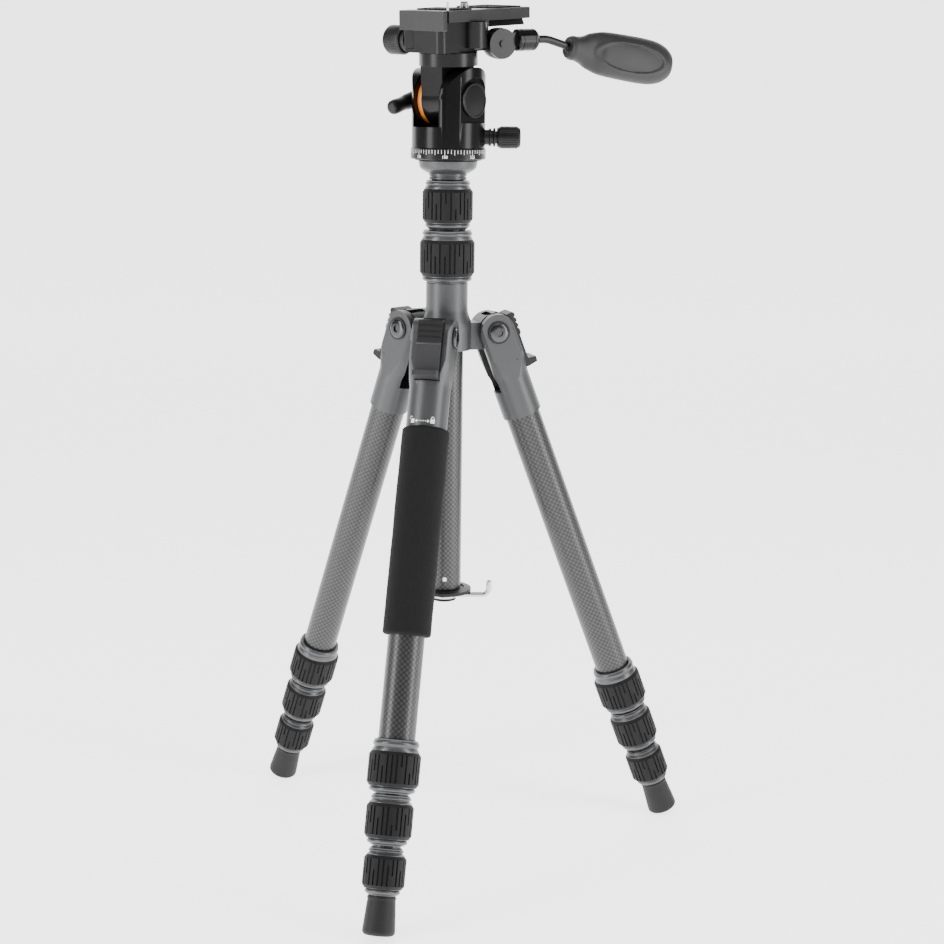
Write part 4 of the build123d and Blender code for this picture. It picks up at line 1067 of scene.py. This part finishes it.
hub = turned([(0, low.z), (4.0, low.z), (4.0, wing_start - 4.6), (6.2, wing_start - 4.4),
              (6.6, wing_start - 4),
              (6.6, wing_start - 2.6), (5.6, wing_start - 2.2), (5.8, wing_start - 1.0), (6.6, wing_start + 1),
              (6.6, wing_start + 4), (0, wing_start + 4)], 64)
knob_black = grained("knob_black", (0.005, 0.005, 0.0055), 0.40, shine=0.25, cloud=0.25, speck=0.5,
                     size=1500, depth=0.03)
settle(join([lobes, hub]), "wing_knob_piece", knob_black, "wing_knob", knob_frame,
       replaces="ball_wing_knob")

# ---- pan lock knob ----
# A small milled knob at the ring's side, with a grooved black collar on its screw.
pan_turn = joints["pan_lock_turn"]
pan_frame = placed_frame(pan_turn["pos_m"], (0, 0, 1), pan_turn["axis"])
low, high = span("pan_lock_knob", pan_frame)
knob_radius = high.x
knob_bottom = high.z - 16.5
stem_outline = [(0, low.z), (5.5, low.z), (5.5, knob_bottom - 6.4), (6.4, knob_bottom - 6.0),
                (6.4, knob_bottom - 4.6), (5.0, knob_bottom - 4.2), (5.0, knob_bottom - 3.2),
                (6.8, knob_bottom - 2.8), (6.8, knob_bottom - 1.6), (4.6, knob_bottom - 1.2),
                (4.6, knob_bottom - 0.2), (6.9, knob_bottom), (0, knob_bottom + 0.2)]
pan_ribs = ribbed(knob_radius, knob_bottom, high.z, 30, 0.3, 0, shoulder=1.3, runs=((0, 1),),
                  levels=(0.16, 0.86), width=0.12)
settle(join([pan_ribs, turned(stem_outline, 64)]), "pan_knob_piece", knob_black, "pan_knob", pan_frame,
       replaces="pan_lock_knob")

# ---- clamp: body and jaw ----
# Milled aluminium, satin black, with a grey stop block at the front that has fine upright lines.
plate_axis = Vector(joints["camera_screw_turn"]["axis"])
stop_axis = -Vector(joints["plate_slide"]["axis"])
head_frame = placed_frame(tilt_centre, stop_axis, plate_axis)
clamp_black = grained("clamp_black", (0.007, 0.007, 0.0075), 0.32, metallic=0.25, shine=0.3, speck=0.4,
                      size=2200)
lined_grey = grained("lined_grey", (0.026, 0.026, 0.027), 0.36, metallic=0.4, cloud=0.15, speck=0.7,
                     size=2600,
                     depth=0.05, place=head_frame, stretch=(1, 1, 40))
inverse = head_frame.inverted()
clamp = worked_copy("clamp_body", edge=0.45, steps=3)
stop_back = span("clamp_body", head_frame)[1].x - 4.2
stop_bottom = 49.5
two_finishes(clamp, clamp_black, lined_grey,
             lambda centre: (inverse @ centre).x / mm > stop_back
             and (inverse @ centre).z / mm > stop_bottom)
settle(clamp, "clamp_block", None, "tilt", replaces="clamp_body")
settle(worked_copy("clamp_jaw", edge=0.5, steps=3), "clamp_jaw_block", clamp_black, "jaw",
       replaces="clamp_jaw")

# ---- clamp knob ----
# A milled aluminium knob on the jaw's screw, with a dark collar behind it.
clamp_turn = joints["clamp_knob_turn"]
clamp_knob_frame = placed_frame(clamp_turn["pos_m"], plate_axis, clamp_turn["axis"])
low, high = span("clamp_knob", clamp_knob_frame)
knob_radius = high.x
knob_bottom = high.z - 17.5
grip_part = ribbed(knob_radius, knob_bottom + 2.6, high.z, 44, 0.3, 0, shoulder=1.2, runs=((0, 1),),
                   levels=(0.13, 0.88), width=0.1)
collar_part = turned([(0, low.z), (4.0, low.z), (4.0, knob_bottom - 1), (7.6, knob_bottom - 0.8),
                      (7.9, knob_bottom - 0.2), (7.9, knob_bottom + 2.4), (0, knob_bottom + 2.8)], 64)
knob_grey = grained("knob_grey", (0.012, 0.012, 0.0125), 0.42, metallic=0.2, shine=0.3, speck=0.5,
                    size=1800,
                    depth=0.03)
settle(join([grip_part, collar_part]), "clamp_knob_piece", knob_grey, "clamp_knob", clamp_knob_frame,
       replaces="clamp_knob")

# ---- quick plate and its pads ----
# Extruded aluminium plate, satin grey, with a dovetail under it and two ribbed rubber pads on top.
plate_grey = grained("plate_grey", (0.022, 0.022, 0.023), 0.36, metallic=0.4, cloud=0.12, speck=0.5,
                     size=2400,
                     depth=0.03, place=head_frame, stretch=(25, 1, 1))
plate = worked_copy("quick_plate", edge=0.4, steps=3)
slab_bottom = span("quick_plate", head_frame)[1].z - 8.0
# the dovetail faces under the slab take the clamp's black: painted shade, as the dovetail is the plate's own grey
# metal lying in shadow under it
two_finishes(plate, plate_grey, clamp_black,
             lambda centre: (inverse @ centre).z / mm < slab_bottom - 0.1)
settle(plate, "quick_plate_piece", None, "plate", replaces="quick_plate")
pad_rubber = grained("pad_rubber", (0.005, 0.005, 0.0055), 0.7, shine=0.2, cloud=0.3, speck=0.5,
                     size=1500, depth=0.04)
low, high = span("plate_pads", head_frame)
pad_spans = ((low.x, low.x + 36.0), (high.x - 24.0, high.x))
pad_pieces = []
for back, fore in pad_spans:
    deselect()
    bpy.ops.mesh.primitive_cube_add(size=1)
    pad = bpy.context.object
    pad.scale = (fore - back, high.y - low.y, high.z - low.z)
    pad.location = ((fore + back) / 2, (low.y + high.y) / 2, (low.z + high.z) / 2)
    apply_place()
    edit(pad, "EDGE")
    choose(pad, "edges", lambda edge: abs(edge.verts[0].co.z - edge.verts[1].co.z) > 0.1)
    bpy.ops.mesh.bevel(offset=3, segments=6, affect="EDGES")
    bpy.ops.mesh.select_mode(type="FACE")
    ribs = 9
    for rib in range(1, 2 * ribs):
        bpy.ops.mesh.select_all(action="SELECT")
        place = back + 2 + (fore - back - 4) * rib / (2 * ribs)
        bpy.ops.mesh.bisect(plane_co=(place, 0, 0), plane_no=(1, 0, 0))
    pitch = (fore - back - 4) / (2 * ribs)

    def in_rib_gap(face):
        centre = face.calc_center_median()
        step = floor((centre.x - back - 2) / pitch)
        return face.normal.z > 0.9 and 0 < step < 2 * ribs - 1 and step % 2 == 1

    choose(pad, "faces", in_rib_gap)
    bpy.ops.mesh.inset(thickness=0.25, depth=-0.35, use_boundary=True, use_individual=True)
    bpy.ops.object.mode_set(mode="OBJECT")
    pad_pieces.append(pad)
settle(join(pad_pieces), "ribbed_pads", pad_rubber, "plate", head_frame, replaces="plate_pads")

# ---- camera screw ----
# Bright steel, with the rolled thread standing out of the plate and a flat head under it, its slot not cut.
screw_frame = placed_frame(joints["camera_screw_turn"]["pos_m"], stop_axis, plate_axis)
low, high = span("camera_screw", screw_frame)
thread_radius = 3.175
thread_pitch = 1.27
thread_bottom = high.z - 5.0
outline = [(0, low.z), (high.x - 0.4, low.z), (high.x, low.z + 0.4), (high.x, low.z + 2.6),
           (high.x - 0.4, low.z + 3.0),
           (2.6, low.z + 3.0), (2.6, thread_bottom)]
for turn_number in range(3):
    rise = thread_bottom + 0.2 + turn_number * thread_pitch
    outline += [(thread_radius - 0.6, rise), (thread_radius, rise + 0.5), (thread_radius, rise + 0.75),
                (thread_radius - 0.6, rise + 1.2)]
outline += [(thread_radius - 0.4, high.z - 0.5), (thread_radius - 0.9, high.z), (0, high.z)]
settle(turned(outline, 64), "camera_screw_piece", bright_steel, "camera_screw", screw_frame,
       replaces="camera_screw")

# ---- twist pin ----
# A sprung steel pin at the plate's front corner that stops the camera from turning, with a domed tip.
pin_low, pin_high = span("twist_pin", head_frame)
pin_centre = (pin_low + pin_high) / 2
pin_radius = (pin_high.x - pin_low.x) / 2
pin_outline = [(0, pin_low.z), (pin_radius, pin_low.z), (pin_radius, pin_high.z - pin_radius)]
pin_outline += [(pin_radius * cos(angle), pin_high.z - pin_radius * (1 - sin(angle)))
                for angle in (radians(18 * step) for step in range(1, 5))]
pin_outline += [(0, pin_high.z)]
pin = turn_to(turned(pin_outline, 32), Matrix.Translation((pin_centre.x, pin_centre.y, 0)))
settle(pin, "twist_pin_piece", bright_steel, "twist_pin", head_frame, replaces="twist_pin")

# ---- handle joint ----
# A toothed lug that meets the clamp's toothed arm on a cross pin; the teeth hold the handle's angle.
handle_angle = joints["handle_angle"]
rod_axis = Vector(joints["handle_nut_turn"]["axis"])
handle_axis = Vector(handle_angle["axis"])
hinge_frame = placed_frame(handle_angle["pos_m"], rod_axis, handle_axis)
settle(worked_copy("handle_joint", edge=0.4, steps=3), "handle_lug", clamp_black, "handle",
       replaces="handle_joint")
rosette_radius = 10.7
rosette_teeth = 36


def tooth_ring(bottom, top, radius):
    return ribbed(radius, bottom, top, rosette_teeth, 0.5, radius - 3.5, shoulder=0.15, runs=((0, 1),),
                  levels=(0.12, 0.88), width=0.1)


# fixed half on the arm's side, turning half on the lug's side, both just inside the 0.3 mm gap
settle(tooth_ring(0.3, 2.1, rosette_radius + 0.35), "fixed_rosette_teeth", clamp_black, "tilt",
       hinge_frame)
settle(tooth_ring(-2.1, -0.3, rosette_radius + 0.35), "turning_rosette_teeth", clamp_black, "handle",
       hinge_frame)

# ---- handle nut ----
# A turned black barrel nut with two shallow grooves, and a thin dark disc on its side as painted shade where the
# tommy-bar hole is.
nut_turn = joints["handle_nut_turn"]
nut_frame = placed_frame(nut_turn["pos_m"], plate_axis, nut_turn["axis"])
low, high = span("handle_nut", nut_frame)
nut_radius = high.x
middle = (low.z + high.z) / 2
bore = 5.6
outline = [(bore, low.z), (nut_radius - 0.9, low.z), (nut_radius, low.z + 0.9),
           (nut_radius, low.z + 3.0),
           (nut_radius - 0.35, low.z + 3.2), (nut_radius - 0.35, low.z + 3.7), (nut_radius, low.z + 3.9),
           (nut_radius, high.z - 4.2), (nut_radius - 0.35, high.z - 4.0), (nut_radius - 0.35,
                                                                           high.z - 3.5),
           (nut_radius, high.z - 3.3), (nut_radius - 0.1, high.z - 1.6), (nut_radius - 1.4,
                                                                          high.z), (3.0, high.z),
           (3.0, low.z + 7.0), (bore, low.z + 7.0), (bore, low.z)]
nut = turned(outline)
# the tommy-bar hole is not cut: a thin dark disc just proud of the side paints its shade
hole = turned([(0, 0), (1.25, 0), (1.25, 0.25), (0, 0.25)], 24)
turn_to(hole, Matrix.Rotation(-pi / 3, 4, "Z") @ Matrix.Translation((-nut_radius - 0.02, 0,
                                                                     high.z - 5.6))
        @ Matrix.Rotation(pi / 2, 4, "Y"))
settle(nut, "barrel_nut", gloss_black, "handle_nut", nut_frame, replaces="handle_nut")
hole_dark = grained("hole_dark", (0.003, 0.003, 0.003), 0.8)
settle(hole, "tommy_hole", hole_dark, "handle_nut", nut_frame)

# ---- handle rod ----
# A bent steel rod, painted satin black.
settle(worked_copy("handle_rod", edge=0), "bent_rod", stem_black, "handle",
       smooth=60, replaces="handle_rod")

# ---- handle grip ----
# A moulded soft-touch grip: a small round collar for the rod, scooped flanks, a full round end, and
# an oval panel with a rim sunk in each side.
grip_drop = radians(10.8)
# hinge frame: x out along the rod, y down, z across the handle; the grip's own z runs along it
axis_along = hinge_frame.to_3x3() @ Vector((cos(grip_drop), sin(grip_drop), 0))
root_low, root_high = span("handle_grip", hinge_frame)
root_point = hinge_frame @ (Vector((54.1, 0, (root_low.z + root_high.z) / 2)) * mm)
stations = ((0, 7.6, 7.0), (2, 8.7, 7.9), (7, 8.9, 8.0), (12, 10.4, 8.2), (17, 13.2, 8.8),
            (28, 15.6, 10.0),
            (48, 16.6, 11.2), (70, 16.5, 11.1), (80, 14.8, 10.0), (87, 11.4, 7.9), (91, 6.8, 5.0), (92.4, 0.0, 0.0))


def station_size(along):
    """Half height and half width of the grip at a distance from its near end."""
    for near, far in zip(stations, stations[1:]):
        if along <= far[0]:
            share = (along - near[0]) / (far[0] - near[0])
            index = stations.index(near)
            before = stations[max(index - 1, 0)]
            after = stations[min(index + 2, len(stations) - 1)]
            sizes = []
            for column in (1, 2):
                slope_near = (far[column] - before[column]) / max(far[0] - before[0],
                                                                  0.1) * (far[0] - near[0])
                slope_far = (after[column] - near[column]) / max(after[0] - near[0],
                                                                 0.1) * (far[0] - near[0])
                sizes.append(near[column] * (2 * share**3 - 3 * share**2 + 1)
                             + slope_near * (share**3 - 2 * share**2 + share)
                             + far[column] * (3 * share**2 - 2 * share**3)
                             + slope_far * (share**3 - share**2))
            return max(sizes[0], 0.2), max(sizes[1], 0.2)
    return 0.2, 0.2


grip_length = 92.2
deselect()
bpy.ops.mesh.primitive_cylinder_add(vertices=128, radius=1, depth=grip_length, end_fill_type="NOTHING",
                                    location=(0, 0, grip_length / 2))
grip = bpy.context.object
apply_place()
edit(grip)
grip_rows = 110
for row in range(1, grip_rows):
    bpy.ops.mesh.select_all(action="SELECT")
    # rows crowd together towards the round far end
    share = sin(pi / 2 * row / grip_rows) ** 0.9
    bpy.ops.mesh.bisect(plane_co=(0, 0, grip_length * share), plane_no=(0, 0, 1))
for sign in (-1, 1):
    choose(grip, "edges", lambda edge: edge.is_boundary
           and (edge.verts[0].co.z - grip_length / 2) * sign > 0)
    bpy.ops.mesh.edge_face_add()
bpy.ops.object.mode_set(mode="OBJECT")
panel_middle, panel_half_length, panel_half_height = 51.0, 29.0, 10.2
for vertex in grip.data.vertices:
    angle = atan2(vertex.co.y, vertex.co.x)
    along = vertex.co.z
    half_height, half_width = station_size(along)
    # x is up, y is across; the section is a little squarer than an ellipse
    square = 0.92
    high_part = half_height * abs(cos(angle)) ** square * (1 if cos(angle) > 0 else -1)
    wide_part = half_width * abs(sin(angle)) ** square * (1 if sin(angle) > 0 else -1)
    # scoop under the near end and along both shoulders
    if 8 < along < 30:
        scoop = sin(pi * (along - 8) / 22) ** 2
        high_part -= 1.6 * scoop * (1 if cos(angle) > 0 else -1) * max(0, abs(cos(angle)) - 0.3) * 0.4
        wide_part *= 1 - 0.16 * scoop
    # the sunk panel and its rim
    across = ((along - panel_middle) / panel_half_length) ** 2 + ((high_part - 0.5) / panel_half_height) ** 2
    if across < 1.45:
        depth = 1.15 if across < 0.86 else max(0.0, 1.15 * (1.0 - across) / 0.14)
        rim = 0.45 * max(0.0, 1 - abs(sqrt(across) - 1.07) / 0.09)
        wide_part -= (depth - rim) * (1 if sin(angle) > 0 else -1)
    vertex.co = (high_part, wide_part, along)
collar = turned([(0, -2.6), (2.95, -2.6), (2.95, 3.0), (4.6, 3.0), (5.2, 2.0), (5.2, 0.2), (5.6, -0.35),
                 (7.2, -0.35),
                 (7.6, 0.1), (7.6, 1.2), (0, 1.2)], 64)
grip_soft = grained("grip_soft", (0.014, 0.014, 0.0145), 0.48, shine=0.3, cloud=0.15, speck=0.5,
                    size=1500, depth=0.04)
grip_matrix = placed_frame(root_point + hinge_frame.to_3x3() @ (Vector((2.2, 4.4, 0)) * mm),
                           hinge_frame.to_3x3() @ Vector((sin(grip_drop), -cos(grip_drop),
                                                          0)), axis_along)
settle(join([grip, collar]), "soft_grip", grip_soft, "handle", grip_matrix,
       replaces="handle_grip")
